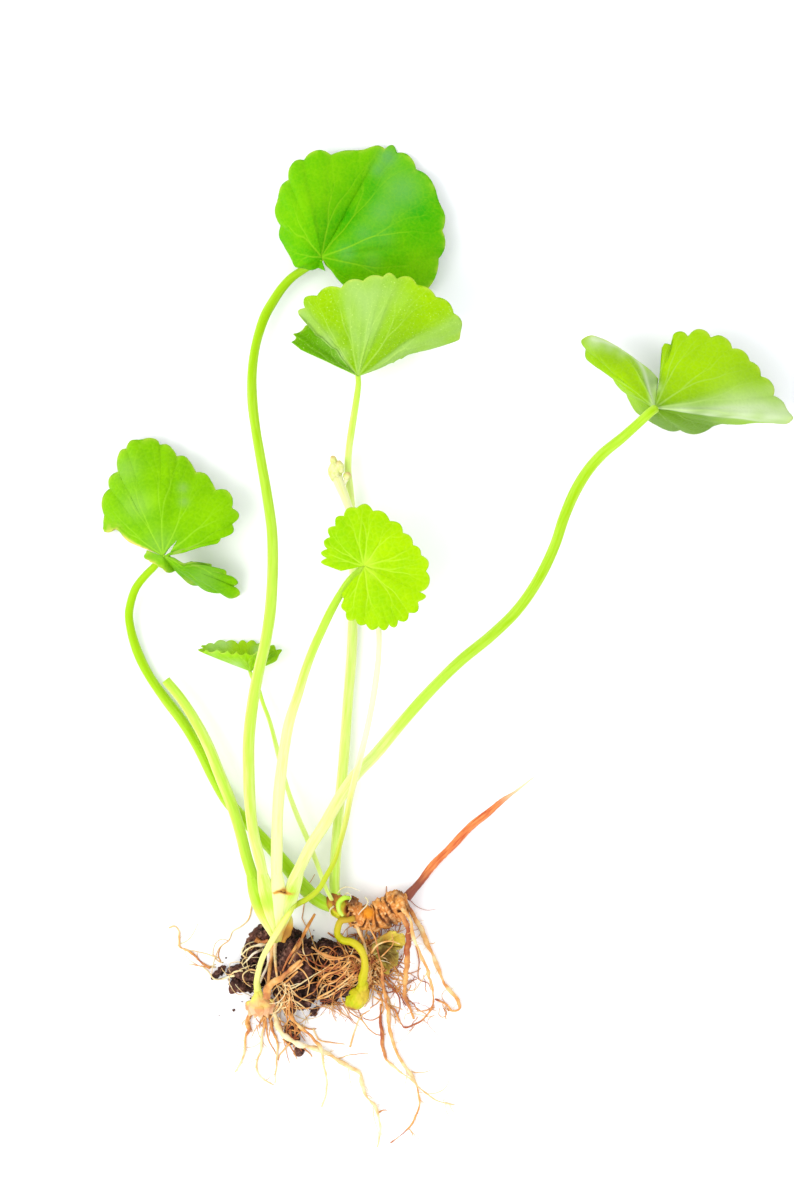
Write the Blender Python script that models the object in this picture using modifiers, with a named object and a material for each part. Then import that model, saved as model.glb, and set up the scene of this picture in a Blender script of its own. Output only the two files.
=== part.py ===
"""Asiatic pennywort (Centella asiatica): one uprooted plant, lying on a flat surface with soil in its roots.

Metres, +Z up. The surface is the plane z = 0, and the origin is under the middle of the plant.
The plant's shape was read off a photograph taken from straight above, so its points are written as
(column, row, height): the pixel where the point shows, in the 794 x 1190 picture, and millimetres
over the surface. spot() turns such a point into metres.
"""

import math

import bmesh
import bpy
import numpy as np
from mathutils import Matrix, Vector, noise
from mathutils.bvhtree import BVHTree

# Driving dimensions
MM = 0.001
PIXEL = 0.2 * MM
EYE_HEIGHT = 661 * MM
PICTURE_MIDDLE = (397.0, 595.0)
ORIGIN_PIXEL = (442.42, 645.98)
BLADE_THICKNESS = 0.4 * MM
GAP = 0.3 * MM
REST = 0.02 * MM
STALK_STEP = 6.5 * MM
ROOT_STEP = 3.4 * MM
RIDGE_STEP = 0.9 * MM
ROOT_SLOPE = 0.8
STALK_SIDES = 8
ROOT_SIDES = 6

# How far out a blade's rings lie, as shares of its ribs, and how high and wide a clod's rings are
BLADE_RINGS = (0.09, 0.38, 0.7, 1.0)
CLOD_RINGS = ((0.0, 1.0), (0.45, 0.93), (0.8, 0.68), (0.97, 0.33))
CLOD_BUMPS = 0.35
CLOD_BUMP_SCALE = 0.13

# The rings of rays, as shares of a root's radius, that feel for what lies under it
FEELERS = ((0.0, 1), (0.5, 6), (1.0, 10))
FEELER_START = 100 * MM
FINE_STEPS = 4

# Finishes: colour and roughness
LEAF = ((0.20, 0.52, 0.02), 0.45)
LEAF_UNDERSIDE = ((0.38, 0.65, 0.06), 0.5)
STALK = ((0.52, 0.82, 0.08), 0.4)
PALE_STALK = ((0.80, 0.92, 0.40), 0.4)
SHEATH = ((0.50, 0.28, 0.08), 0.7)
ROOT = ((0.83, 0.44, 0.15), 0.65)
RUNNER = ((0.70, 0.20, 0.09), 0.6)
BARK = ((0.56, 0.26, 0.06), 0.8)
SOIL = ((0.10, 0.06, 0.05), 0.95)
WITHERED = ((0.40, 0.33, 0.05), 0.7)
BUD = ((0.86, 0.66, 0.45), 0.6)
FRUIT = ((0.52, 0.55, 0.03), 0.5)

for old in list(bpy.data.objects):
    bpy.data.objects.remove(old, do_unlink=True)

plant = bpy.data.collections.new("asiatic_pennywort")
bpy.context.scene.collection.children.link(plant)
laid = []


def spot(column, row, height):
    """The place, in metres, that shows at a pixel when it lies at a height in millimetres."""
    z = height * MM
    nearer = (EYE_HEIGHT - z) / EYE_HEIGHT
    x = PICTURE_MIDDLE[0] - ORIGIN_PIXEL[0] + (column - PICTURE_MIDDLE[0]) * nearer
    y = ORIGIN_PIXEL[1] - PICTURE_MIDDLE[1] + (PICTURE_MIDDLE[1] - row) * nearer
    return Vector((x * PIXEL, y * PIXEL, z))


def smooth_line(points, step):
    """A curve through the points, read at even steps: cubic pieces that share each point's slope."""
    points = np.array(points, float)
    lengths = np.linalg.norm(np.diff(points, axis=0), axis=1)
    reach = np.concatenate(([0.0], np.cumsum(lengths)))
    slopes = np.gradient(points, reach, axis=0)
    places = np.linspace(0.0, reach[-1], max(4, round(reach[-1] / step) + 1))
    piece = np.clip(np.searchsorted(reach, places, side="right") - 1, 0, len(lengths) - 1)
    length = lengths[piece][:, None]
    part = (places - reach[piece])[:, None] / length
    return (
        (1 + 2 * part) * (1 - part) ** 2 * points[piece]
        + part * (1 - part) ** 2 * length * slopes[piece]
        + part**2 * (3 - 2 * part) * points[piece + 1]
        - part**2 * (1 - part) * length * slopes[piece + 1]
    )


def finish(piece, look):
    """Gives a piece its own Principled material and puts it in the plant's collection."""
    colour, roughness = look
    material = bpy.data.materials.new(f"{piece.name}_finish")
    material.use_nodes = True
    shader = material.node_tree.nodes["Principled BSDF"]
    shader.inputs["Base Color"].default_value = (*colour, 1.0)
    shader.inputs["Roughness"].default_value = roughness
    shader.inputs["Metallic"].default_value = 0.0
    piece.data.materials.append(material)
    plant.objects.link(piece)
    bpy.context.view_layer.update()
    remember(piece)
    return piece


def remember(piece):
    """Keeps a search tree of a finished piece, so that later stalks and roots can lie over it."""
    solid = piece.evaluated_get(bpy.context.evaluated_depsgraph_get())
    mesh = solid.to_mesh()
    points = [vertex.co.copy() for vertex in mesh.vertices]
    faces = [tuple(face.vertices) for face in mesh.polygons]
    laid.append(BVHTree.FromPolygons(points, faces))
    solid.to_mesh_clear()


def mesh_piece(name, points, faces):
    mesh = bpy.data.meshes.new(name)
    mesh.from_pydata([tuple(point) for point in points], [], faces)
    return bpy.data.objects.new(name, mesh)


def tube(name, line, widths, look, sides):
    """A round stalk along a line, tapered through widths in millimetres that are spread evenly over it."""
    share = np.linspace(0, 1, len(line))
    radii = np.interp(share, np.linspace(0, 1, len(widths)), widths) * MM / 2
    curve = bpy.data.curves.new(name, "CURVE")
    curve.dimensions = "3D"
    curve.fill_mode = "FULL"
    curve.bevel_depth = float(radii.max())
    curve.bevel_resolution = (sides - 4) // 2
    curve.use_fill_caps = True
    spline = curve.splines.new("POLY")
    spline.points.add(len(line) - 1)
    for point, place, radius in zip(spline.points, line, radii):
        point.co = (*place, 1.0)
        point.radius = float(radius / radii.max())
    return finish(bpy.data.objects.new(name, curve), look)


def stalk(name, route, widths, look=STALK, step=STALK_STEP):
    """A stalk through points with heights of their own."""
    line = smooth_line([spot(*point) for point in route], step)
    return tube(name, line, widths, look, STALK_SIDES)


def top_under(place, radius):
    """Height of the highest thing laid so far under a disc."""
    highest = 0.0
    spread = radius + GAP
    for ring, count in FEELERS:
        for k in range(count):
            turn = math.tau * k / count
            across = Vector((math.cos(turn), math.sin(turn), 0)) * spread * ring
            start = Vector((place[0], place[1], FEELER_START)) + across
            for tree in laid:
                hit = tree.ray_cast(start, Vector((0, 0, -1)))[0]
                if hit is not None:
                    highest = max(highest, hit.z)
    return highest


def laid_line(route, width, start_height, step):
    """A root's line: over everything laid before it, down to the surface at ROOT_SLOPE at most."""
    flat = smooth_line([(column, row, 0) for column, row in route], step / PIXEL / FINE_STEPS)
    radius = width * MM / 2
    reach = np.arange(len(flat)) * step / FINE_STEPS
    heights = np.full(len(flat), radius)
    for _ in range(3):
        places = [spot(c, r, h / MM) for (c, r, _), h in zip(flat, heights)]
        tops = np.array([top_under(place, radius) for place in places])
        needed = np.where(tops > 0, tops + GAP, REST) + radius
        needed[0] = max(needed[0], start_height * MM)
        widened = [needed[max(0, i - FINE_STEPS + 1) : i + FINE_STEPS].max() for i in range(len(needed))]
        apart = np.abs(reach[:, None] - reach[None, :])
        heights = (np.array(widened)[None, :] - ROOT_SLOPE * apart).max(axis=1)
    places = [spot(c, r, h / MM) for (c, r, _), h in zip(flat, heights)]
    kept = places[::FINE_STEPS]
    return kept if len(places) % FINE_STEPS == 1 else kept + [places[-1]]


def root(name, route, widths, look=ROOT, start_height=0.0, step=ROOT_STEP, sides=ROOT_SIDES):
    """A root or soft stalk that lies on whatever is under it."""
    return tube(name, laid_line(route, max(widths), start_height, step), widths, look, sides)


def blade(name, hub, rim, lifts, look):
    """A leaf blade: ribs fan out from the hub to the rim, straight as seen from above.

    A rib's height runs evenly from the hub's to the rim's, and a parabola of the rib's own lift
    bows it up between them. The shell is open at the hub, where the stalk comes in.
    """
    rim = np.array(rim, float)
    hub = np.array(hub, float)
    lift = np.interp(np.linspace(0, 1, len(rim)), np.linspace(0, 1, len(lifts)), lifts)
    points = []
    for share in BLADE_RINGS:
        ring = hub + (rim - hub) * share
        ring[:, 2] += lift * 4 * share * (1 - share)
        points += [spot(*point) for point in ring]
    count = len(rim)
    faces = [
        (k * count + i, k * count + i + 1, (k + 1) * count + i + 1, (k + 1) * count + i)
        for k in range(len(BLADE_RINGS) - 1)
        for i in range(count - 1)
    ]
    piece = mesh_piece(name, points, faces)
    piece.data.shade_smooth()
    shell = piece.modifiers.new("thickness", "SOLIDIFY")
    shell.thickness = BLADE_THICKNESS
    shell.offset = 0.0
    return finish(piece, look)


def loft(name, sections, look, sides=12):
    """A body through upright oval sections (column, row, height, half width, half height)."""
    middles = [spot(*section[:3]) for section in sections]
    points = []
    for i, section in enumerate(sections):
        along = middles[min(i + 1, len(middles) - 1)] - middles[max(i - 1, 0)]
        across = Vector((along.y, -along.x, 0)).normalized()
        for k in range(sides):
            turn = math.tau * k / sides
            wide = across * section[3] * MM * math.cos(turn)
            points.append(middles[i] + wide + Vector((0, 0, section[4] * MM * math.sin(turn))))
    faces = [
        (k * sides + i, k * sides + (i + 1) % sides, (k + 1) * sides + (i + 1) % sides, (k + 1) * sides + i)
        for k in range(len(sections) - 1)
        for i in range(sides)
    ]
    faces.append(tuple(reversed(range(sides))))
    faces.append(tuple(range(len(points) - sides, len(points))))
    return finish(outward(mesh_piece(name, points, faces)), look)


def outward(piece):
    """Turns a closed mesh's faces outwards."""
    form = bmesh.new()
    form.from_mesh(piece.data)
    bmesh.ops.recalc_face_normals(form, faces=form.faces)
    form.to_mesh(piece.data)
    form.free()
    return piece


def ball(name, middle, size, turn, look, segments=10, rings=7):
    """A rounded head: a sphere stretched to a length, width and height in millimetres."""
    form = bmesh.new()
    bmesh.ops.create_uvsphere(form, u_segments=segments, v_segments=rings, radius=0.5)
    stretch = Matrix.Diagonal((*[side * MM for side in size], 1.0))
    place = Matrix.Translation(spot(*middle)) @ Matrix.Rotation(math.radians(turn), 4, "Z")
    bmesh.ops.transform(form, matrix=place @ stretch, verts=form.verts)
    mesh = bpy.data.meshes.new(name)
    form.to_mesh(mesh)
    form.free()
    mesh.shade_smooth()
    return finish(bpy.data.objects.new(name, mesh), look)


def clod(name, outline, height, look=SOIL):
    """A lump of soil: a rough dome over its outline, flat where it lies on the surface."""
    outline = np.array(outline, float)
    middle = outline.mean(axis=0)
    points = []
    for rise, share in CLOD_RINGS:
        for column, row in middle + (outline - middle) * share:
            bump = noise.noise(Vector((column, row, rise)) * CLOD_BUMP_SCALE)
            points.append(spot(column, row, rise * height * (1 + CLOD_BUMPS * bump)))
    points.append(spot(*middle, height))
    count = len(outline)
    faces = [
        (k * count + i, k * count + (i + 1) % count, (k + 1) * count + (i + 1) % count, (k + 1) * count + i)
        for k in range(len(CLOD_RINGS) - 1)
        for i in range(count)
    ]
    top = (len(CLOD_RINGS) - 1) * count
    faces += [(top + i, top + (i + 1) % count, len(points) - 1) for i in range(count)]
    faces.append(tuple(range(count)))
    return finish(outward(mesh_piece(name, points, faces)), look)


# Soil, the lowest thing, in the lumps that the roots still hold
clod(
    "soil_main",
    [(277, 944), (284, 934), (292, 927), (300, 930), (307, 935), (311, 944), (316, 955),
     (318, 968), (318, 984), (315, 997), (306, 1004), (294, 1006), (284, 1000), (276, 990),
     (270, 976), (269, 958)],
    8.0,
)
clod(
    "soil_mat",
    [(315, 938), (326, 939), (338, 942), (350, 945), (361, 951), (368, 961), (370, 973),
     (364, 982), (352, 984), (343, 991), (336, 1000), (325, 1000), (321, 990), (321, 968),
     (319, 952)],
    6.0,
)
clod(
    "soil_left",
    [(248, 946), (257, 944), (264, 949), (266, 960), (266, 974), (263, 985), (256, 992),
     (244, 993), (234, 989), (229, 979), (231, 970), (238, 963), (241, 953)],
    5.5,
)
clod("soil_top", [(255, 934), (260, 926), (267, 928), (270, 935), (266, 941), (257, 941)], 4.0)
clod("soil_tail", [(214, 971), (219, 965), (226, 966), (227, 973), (221, 977), (215, 976)], 2.6)
clod(
    "soil_crumb_1",
    [(308, 1010), (312, 1007), (318, 1008), (318, 1013), (314, 1017), (308, 1015)],
    1.6,
)
clod(
    "soil_crumb_2",
    [(286, 1028), (292, 1024), (299, 1027), (302, 1034), (297, 1040), (289, 1037)],
    1.8,
)
clod("soil_crumb_3", [(294, 1050), (299, 1048), (303, 1051), (301, 1056), (295, 1055)], 1.2)

# Rhizome: ridged, knobbly, with the crown of the younger shoots at one end and the old runner at the other
RHIZOME_ROUTE = [
    (354, 911, 4.4), (364, 917, 4.0), (375, 917, 3.8), (386, 911, 3.8), (397, 904, 3.8), (404, 901, 3.6)
]
RHIZOME_WIDTHS = (4.0, 5.0, 4.6, 5.3, 5.0, 5.8, 5.5, 6.2, 5.7, 6.3, 5.8, 6.2, 5.3, 5.6, 4.4)
rhizome_line = smooth_line([spot(*point) for point in RHIZOME_ROUTE], RIDGE_STEP)
tube("rhizome", rhizome_line, RHIZOME_WIDTHS, BARK, 10)
loft(
    "side_crown",
    [(334, 898, 4.0, 1.5, 2.0), (337, 903, 4.2, 2.2, 2.8), (340, 909, 4.3, 2.2, 3.0),
     (344, 914, 4.2, 1.6, 2.3)],
    SHEATH,
    sides=10,
)
stalk(
    "old_runner",
    [(411, 892, 3.2), (420, 882, 2.6), (432, 866, 2.0), (450, 848, 1.8), (470, 827, 2.4),
     (490, 811, 3.4), (503, 800, 4.2), (516, 791, 5.0), (534, 777, 6.0)],
    (1.7, 1.6, 1.9, 1.5, 1.6, 1.5, 1.3, 1.0, 0.4),
    RUNNER,
)
blade(
    "withered_leaf",
    (373, 946, 4.5),
    [(384, 936, 6.0), (395, 934, 6.6), (405, 938, 5.0), (404, 947, 3.2), (397, 950, 5.0),
     (399, 957, 2.4), (394, 965, 0.8), (385, 967, 0.8), (377, 962, 2.0)],
    (0.8, -0.6, 1.2, -0.4, 1.0),
    WITHERED,
)

# The crown that the main stalks spring from, on top of the soil
loft(
    "main_crown",
    [(274, 889, 10.2, 4.0, 2.0), (275, 899, 10.6, 3.7, 2.4), (276, 910, 10.8, 3.2, 2.4),
     (277, 922, 10.8, 2.6, 2.1), (277, 934, 10.6, 1.8, 1.6), (276, 940, 10.4, 1.1, 1.1)],
    PALE_STALK,
)

# Petioles of the side crown lie lowest
stalk(
    "petiole_left",
    [(160, 562, 7.8), (146, 575, 6.4), (136, 588, 5.0), (131, 602, 3.6), (129, 615, 2.5),
     (131, 630, 1.9), (138, 650, 1.4), (150, 675, 1.3), (165, 697, 1.3), (183, 722, 1.3),
     (200, 750, 1.3), (213, 776, 1.4), (227, 800, 1.6), (245, 820, 1.9), (262, 838, 2.2),
     (276, 853, 2.4), (290, 870, 2.6), (303, 886, 3.0), (312, 895, 3.3), (320, 902, 3.5)],
    (1.6, 1.8, 2.0, 2.2, 2.3, 2.4, 2.4, 2.2),
)
stalk(
    "petiole_cupped",
    [(358, 381, 11.5), (355, 400, 9.0), (351, 425, 6.5), (348, 450, 4.5), (348, 470, 3.4),
     (350, 490, 2.6), (353, 540, 1.6), (354, 580, 1.5), (353, 620, 1.5), (352, 650, 1.6),
     (349, 690, 1.8), (346, 730, 2.2), (343, 770, 2.6), (340, 800, 3.0), (337, 840, 3.3),
     (335, 870, 3.6), (335, 891, 4.0)],
    (1.1, 1.3, 1.6, 1.8, 2.0, 2.2, 2.2, 2.1),
)
stalk(
    "petiole_small",
    [(250, 675, 3.2), (255, 683, 2.6), (259, 690, 2.4), (262, 700, 2.4), (270, 722, 2.4),
     (276, 745, 2.6), (282, 768, 2.8), (289, 793, 3.2), (297, 815, 3.8), (307, 838, 4.6),
     (315, 858, 5.4), (320, 872, 6.2), (326, 888, 6.8)],
    (0.8, 0.9, 0.9, 1.0, 1.0, 0.9),
)

# Petioles of the main crown lie over them, side by side where they spring from it
stalk(
    "petiole_broken",
    [(166, 680, 3.7), (180, 697, 3.9), (195, 720, 4.1), (208, 745, 4.3), (220, 775, 4.8),
     (232, 805, 5.4), (240, 830, 6.2), (247, 858, 7.6), (254, 880, 9.0)],
    (1.8, 2.0, 2.2, 2.3, 2.3, 1.9),
)
stalk(
    "petiole_top",
    [(318, 260, 7.4), (303, 270, 5.2), (290, 278, 4.4), (280, 288, 4.0), (272, 300, 3.8),
     (264, 315, 3.8), (259, 330, 4.0), (255, 345, 4.2), (252, 370, 4.6), (252, 400, 5.2),
     (256, 430, 6.0), (262, 465, 7.2), (268, 500, 8.4), (272, 530, 9.4), (273, 560, 10.4),
     (272, 590, 11.2), (270, 615, 11.8), (265, 645, 12.2), (258, 675, 12.2), (252, 710, 12.0),
     (249, 740, 11.8), (249, 770, 11.6), (250, 800, 11.4), (254, 835, 11.2), (260, 860, 11.0),
     (264, 878, 10.8)],
    (1.4, 1.7, 1.9, 2.1, 2.3, 2.3, 2.4, 2.3, 2.0),
)
stalk(
    "petiole_middle",
    [(362, 569, 13.2), (350, 580, 13.0), (340, 595, 12.8), (330, 613, 12.6), (322, 630, 12.5),
     (313, 650, 12.4), (305, 672, 12.2), (298, 695, 12.0), (290, 720, 11.9), (285, 745, 11.8),
     (281, 775, 11.6), (278, 810, 11.4), (277, 850, 11.0), (277, 882, 10.8)],
    (1.4, 1.9, 2.2, 2.3, 2.4, 2.4, 2.2),
)
stalk(
    "petiole_right",
    [(652, 411, 22.6), (640, 420, 20.6), (620, 436, 17.6), (600, 453, 14.8), (588, 468, 13.0),
     (575, 490, 11.0), (565, 515, 9.4), (555, 545, 8.0), (540, 575, 7.0), (515, 610, 6.2),
     (490, 635, 5.8), (460, 660, 5.6), (430, 690, 5.6), (400, 725, 5.8), (375, 755, 6.2),
     (355, 776, 6.8), (340, 798, 7.4), (325, 824, 8.2), (310, 848, 9.2), (300, 868, 10.0),
     (293, 882, 10.6)],
    (2.0, 2.3, 2.4, 2.4, 2.4, 2.4, 2.4, 2.2),
)

# Blades. The right one hangs upside down over its stalk, the cupped one is folded like a funnel
blade(
    "leaf_top",
    (321, 257, 9.5),
    [(325, 271, 8.6), (318, 268, 8.2), (312, 270, 8.0), (303, 268, 8.2), (296, 267, 8.0),
     (291, 258, 7.2), (283, 244, 6.4), (279, 238, 6.0), (280, 226, 5.8), (275, 210, 5.2),
     (278, 200, 5.0), (283, 184, 5.0), (289, 180, 5.0), (291, 166, 5.0), (297, 160, 5.0),
     (304, 160, 5.0), (310, 153, 4.8), (320, 150, 4.8), (331, 155, 4.6), (342, 151, 4.2),
     (362, 150, 3.0), (380, 146, 1.8), (385, 149, 1.4), (392, 145, 0.8), (397, 153, 0.6),
     (404, 153, 0.9), (411, 158, 1.6), (416, 170, 2.6), (427, 176, 3.2), (434, 187, 3.8),
     (438, 200, 4.2), (445, 218, 4.8), (442, 231, 5.0), (445, 243, 4.8), (438, 258, 4.2),
     (437, 270, 3.4), (430, 285, 2.2), (414, 295, 1.2), (393, 299, 0.8), (370, 295, 1.4),
     (352, 290, 3.4), (341, 283, 5.2), (335, 275, 6.6), (327, 266, 8.4)],
    (0.0, 1.0, 2.2, 2.6, 2.4, 1.0, -0.8, 0.8, 1.6, 1.8, 1.4, 1.0, 0.0),
    LEAF,
)
blade(
    "leaf_cupped",
    (358, 376, 12.5),
    [(345, 356, 16.8), (338, 348, 18.2), (328, 344, 19.4), (322, 334, 20.6), (311, 326, 21.4),
     (305, 320, 22.0), (298, 311, 22.4), (305, 308, 22.6), (304, 299, 23.0), (317, 296, 23.4),
     (323, 289, 23.8), (341, 288, 24.4), (350, 280, 25.0), (363, 281, 25.2), (370, 276, 25.5),
     (383, 277, 25.6), (388, 273, 25.8), (397, 279, 25.8), (410, 277, 25.6), (417, 285, 25.4),
     (431, 290, 24.6), (436, 297, 23.8), (449, 303, 22.2), (454, 314, 20.2), (462, 322, 18.0),
     (461, 332, 15.0), (459, 340, 12.0), (450, 340, 8.6), (432, 334, 5.4), (410, 325, 3.0),
     (388, 317, 1.4), (365, 313, 0.7), (342, 313, 0.6), (322, 318, 0.8), (305, 326, 1.2),
     (300, 332, 1.4), (293, 334, 1.6), (296, 338, 1.9), (291, 342, 2.3), (301, 350, 4.0)],
    (1.0, 1.4, 1.8, 2.4, 2.6, 2.0, 0.5, -1.0, -1.4, -1.0, 0.0),
    LEAF_UNDERSIDE,
)
blade(
    "leaf_right",
    (655, 408, 20.6),
    [(668, 381, 18.4), (666, 356, 14.2), (665, 343, 11.6), (671, 344, 11.4), (675, 332, 9.8),
     (682, 331, 9.6), (688, 336, 10.2), (698, 329, 9.6), (706, 331, 9.8), (711, 337, 10.4),
     (719, 335, 10.2), (728, 340, 10.6), (732, 349, 11.4), (743, 351, 11.4), (750, 361, 12.0),
     (759, 367, 12.4), (761, 376, 13.0), (769, 380, 13.2), (774, 390, 13.8), (773, 396, 14.2),
     (783, 402, 14.2), (788, 411, 14.2), (793, 418, 13.6), (788, 423, 10.8), (774, 424, 6.6),
     (756, 424, 3.0), (738, 425, 1.2), (722, 424, 0.7), (712, 427, 0.6), (703, 433, 0.5),
     (694, 435, 0.5), (686, 433, 0.6), (680, 430, 1.0), (672, 432, 0.7), (663, 430, 0.9),
     (655, 425, 1.6), (645, 418, 2.8), (636, 412, 3.8), (630, 403, 4.8), (626, 394, 5.6),
     (616, 384, 6.6), (611, 371, 7.6), (600, 369, 8.0), (596, 363, 8.4), (587, 360, 8.8),
     (586, 349, 9.2), (581, 341, 9.6), (590, 335, 9.8), (602, 338, 10.4), (616, 345, 11.2),
     (629, 354, 11.6), (641, 363, 12.4), (651, 371, 13.8), (658, 378, 15.8)],
    (0.4, 1.0, 1.6, 2.0, 2.2, 2.6, 3.0, 4.4, 5.4, 5.4, 4.8, 3.0, 2.2, 1.8, 1.0, 0.3),
    LEAF_UNDERSIDE,
)
blade(
    "leaf_left",
    (163, 556, 9.8),
    [(145, 547, 8.4), (131, 541, 6.4), (122, 533, 4.6), (112, 531, 2.6), (100, 530, 0.7),
     (104, 515, 0.7), (102, 503, 0.6), (105, 494, 0.7), (111, 489, 1.0), (111, 477, 1.2),
     (119, 472, 1.8), (118, 457, 1.8), (122, 450, 2.0), (127, 449, 2.2), (131, 441, 2.4),
     (141, 440, 2.8), (150, 438, 3.0), (157, 440, 3.2), (160, 445, 3.6), (167, 444, 3.8),
     (174, 450, 4.2), (177, 456, 4.6), (184, 456, 4.8), (191, 463, 5.2), (196, 472, 5.8),
     (206, 474, 6.0), (212, 482, 6.4), (216, 490, 7.0), (227, 490, 7.0), (232, 496, 7.4),
     (232, 508, 8.0), (239, 515, 8.2), (232, 524, 8.6), (234, 530, 8.8), (221, 536, 9.2),
     (220, 540, 9.2), (192, 544, 9.6), (182, 550, 9.4), (188, 564, 8.6), (205, 564, 8.0),
     (213, 570, 7.2), (226, 571, 6.2), (230, 577, 5.2), (238, 583, 4.0), (236, 587, 3.2),
     (240, 593, 2.2), (230, 598, 0.8), (222, 595, 0.7), (208, 592, 0.7), (196, 586, 0.9),
     (187, 582, 1.6), (180, 574, 3.8), (171, 572, 6.6), (161, 568, 8.6), (150, 562, 9.0),
     (144, 557, 9.0), (147, 550, 9.2)],
    (0.0, 0.8, 2.0, 2.6, 2.6, 2.2, 1.8, 1.4, 0.4, 1.6, 1.2, 0.3, 0.0),
    LEAF,
)
blade(
    "leaf_middle",
    (364, 566, 15.0),
    [(341, 571, 14.4), (330, 567, 14.2), (321, 562, 14.2), (327, 558, 14.3), (321, 553, 14.2),
     (328, 549, 14.4), (324, 541, 14.4), (330, 537, 14.6), (328, 529, 14.6), (336, 526, 15.0),
     (337, 517, 15.0), (344, 516, 15.2), (347, 509, 15.2), (357, 508, 15.6), (366, 504, 15.6),
     (373, 511, 16.0), (381, 511, 16.0), (390, 521, 16.4), (400, 524, 16.4), (403, 533, 16.6),
     (411, 537, 16.6), (413, 545, 16.6), (420, 549, 16.4), (421, 555, 16.4), (429, 563, 16.2),
     (426, 571, 16.2), (430, 580, 16.0), (426, 589, 15.8), (419, 592, 15.8), (426, 596, 15.6),
     (418, 602, 15.6), (417, 612, 15.2), (408, 614, 15.2), (404, 622, 15.0), (393, 628, 14.6),
     (381, 630, 14.4), (372, 630, 14.0), (364, 622, 14.2), (354, 623, 14.0), (346, 617, 13.8),
     (341, 606, 14.0), (346, 598, 14.2), (343, 594, 14.2), (352, 587, 14.5)],
    (0.2, 0.5, 0.8, 0.6, 0.2, 0.6, 0.8, 0.6, 0.2),
    LEAF,
)
blade(
    "leaf_small",
    (250, 671, 4.0),
    [(262, 655, 7.6), (257, 650, 8.4), (246, 651, 8.9), (236, 651, 8.8), (226, 650, 8.2),
     (216, 650, 7.2), (206, 651, 5.8), (198, 650, 4.2), (203, 646, 2.8), (212, 643, 1.8),
     (221, 640, 1.1), (232, 641, 0.8), (239, 643, 0.7), (245, 640, 0.7), (255, 642, 0.8),
     (266, 646, 1.2), (274, 645, 1.8), (281, 651, 3.0), (278, 659, 4.2), (269, 664, 4.6)],
    (0.2, 0.8, 0.8, 0.0, -0.6, -0.8, -0.6, 0.0, 0.2),
    LEAF,
)

# The flower stalk lies on top, with three closed buds
stalk(
    "bud_stalk",
    [(339, 485, 5.4), (343, 492, 5.4), (348, 505, 5.6), (360, 545, 6.6), (371, 590, 8.0),
     (378, 620, 8.8), (379, 650, 9.2), (376, 680, 9.4), (372, 705, 9.6), (367, 730, 9.8),
     (361, 755, 10.0), (356, 775, 10.2), (351, 795, 10.4), (346, 820, 10.6), (341, 840, 10.8),
     (335, 860, 10.8), (327, 875, 10.8), (318, 890, 10.6), (307, 899, 10.4), (296, 905, 10.2)],
    (0.7, 0.8, 1.0, 1.1, 1.2, 1.2, 1.2),
    PALE_STALK,
)
ball("bud_left", (333, 468, 5.2), (2.4, 3.4, 2.4), 15, BUD)
ball("bud_middle", (343, 463, 5.6), (1.5, 2.6, 1.8), -5, BUD, segments=8, rings=6)
ball("bud_right", (346, 478, 5.4), (1.4, 2.4, 1.6), -20, BUD, segments=8, rings=6)

# Roots, laid one over the other from the soil and the rhizome outwards
root(
    "root_far_left",
    [(210, 968), (203, 963), (195, 955), (187, 950), (180, 947), (179, 938), (180, 931),
     (175, 926), (170, 928)],
    (0.6, 0.4),
)
root(
    "root_left_1",
    [(247, 1022), (250, 1029), (246, 1037), (245, 1047), (243, 1058), (238, 1068), (235, 1072)],
    (1.1, 0.9, 0.5),
)
root(
    "root_left_2",
    [(266, 1026), (262, 1038), (260, 1050), (257, 1062), (258, 1072), (265, 1080), (274, 1085)],
    (0.8, 0.6, 0.4),
)
root("root_left_3", [(272, 1026), (275, 1038), (277, 1050), (277, 1065), (275, 1083)], (0.6, 0.4))
root(
    "root_left_4",
    [(276, 1018), (280, 1030), (290, 1040), (305, 1046), (318, 1049), (330, 1054), (342, 1062),
     (352, 1068), (360, 1073), (363, 1085), (368, 1099), (375, 1106), (379, 1120), (379, 1135),
     (376, 1147)],
    (1.4, 1.3, 1.0, 0.8, 0.4),
)
root(
    "root_left_5",
    [(290, 1016), (300, 1027), (312, 1038), (320, 1048), (324, 1062), (327, 1080), (325, 1096),
     (321, 1107)],
    (1.0, 0.8, 0.4),
)
root(
    "root_right_1",
    [(414, 917), (421, 928), (428, 945), (437, 965), (448, 987), (457, 1001), (458, 1009),
     (452, 1011), (446, 1004), (435, 999)],
    (1.2, 1.1, 0.9, 0.5),
)
root(
    "root_right_3",
    [(405, 923), (408, 933), (407, 950), (405, 970), (404, 985), (405, 997), (410, 1007),
     (413, 1019)],
    (1.2, 1.1, 0.7),
)
root(
    "root_right_2",
    [(410, 919), (412, 932), (417, 947), (423, 961), (429, 977), (433, 992), (434, 1004),
     (428, 1014), (416, 1024), (404, 1027), (399, 1018), (394, 1009), (386, 1005)],
    (0.9, 0.8, 0.6, 0.4),
)
root(
    "root_right_4",
    [(375, 938), (380, 960), (383, 985), (386, 1002), (388, 1017), (391, 1032), (396, 1049),
     (403, 1064), (413, 1078), (417, 1090), (420, 1104), (417, 1115), (409, 1128), (400, 1136),
     (391, 1143)],
    (1.3, 1.2, 1.0, 0.8, 0.4),
)
root(
    "root_right_5",
    [(380, 1014), (382, 1030), (382, 1045), (386, 1059), (396, 1070), (410, 1079), (423, 1090),
     (438, 1101), (454, 1105)],
    (0.7, 0.5, 0.4),
)
root("root_thick", [(298, 964), (290, 971), (281, 978), (271, 986)], (1.2, 1.6, 2.2), start_height=9.0)
root("dry_stick", [(315, 914), (305, 932), (298, 948), (289, 964)], (0.8, 1.0, 0.9))
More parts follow.
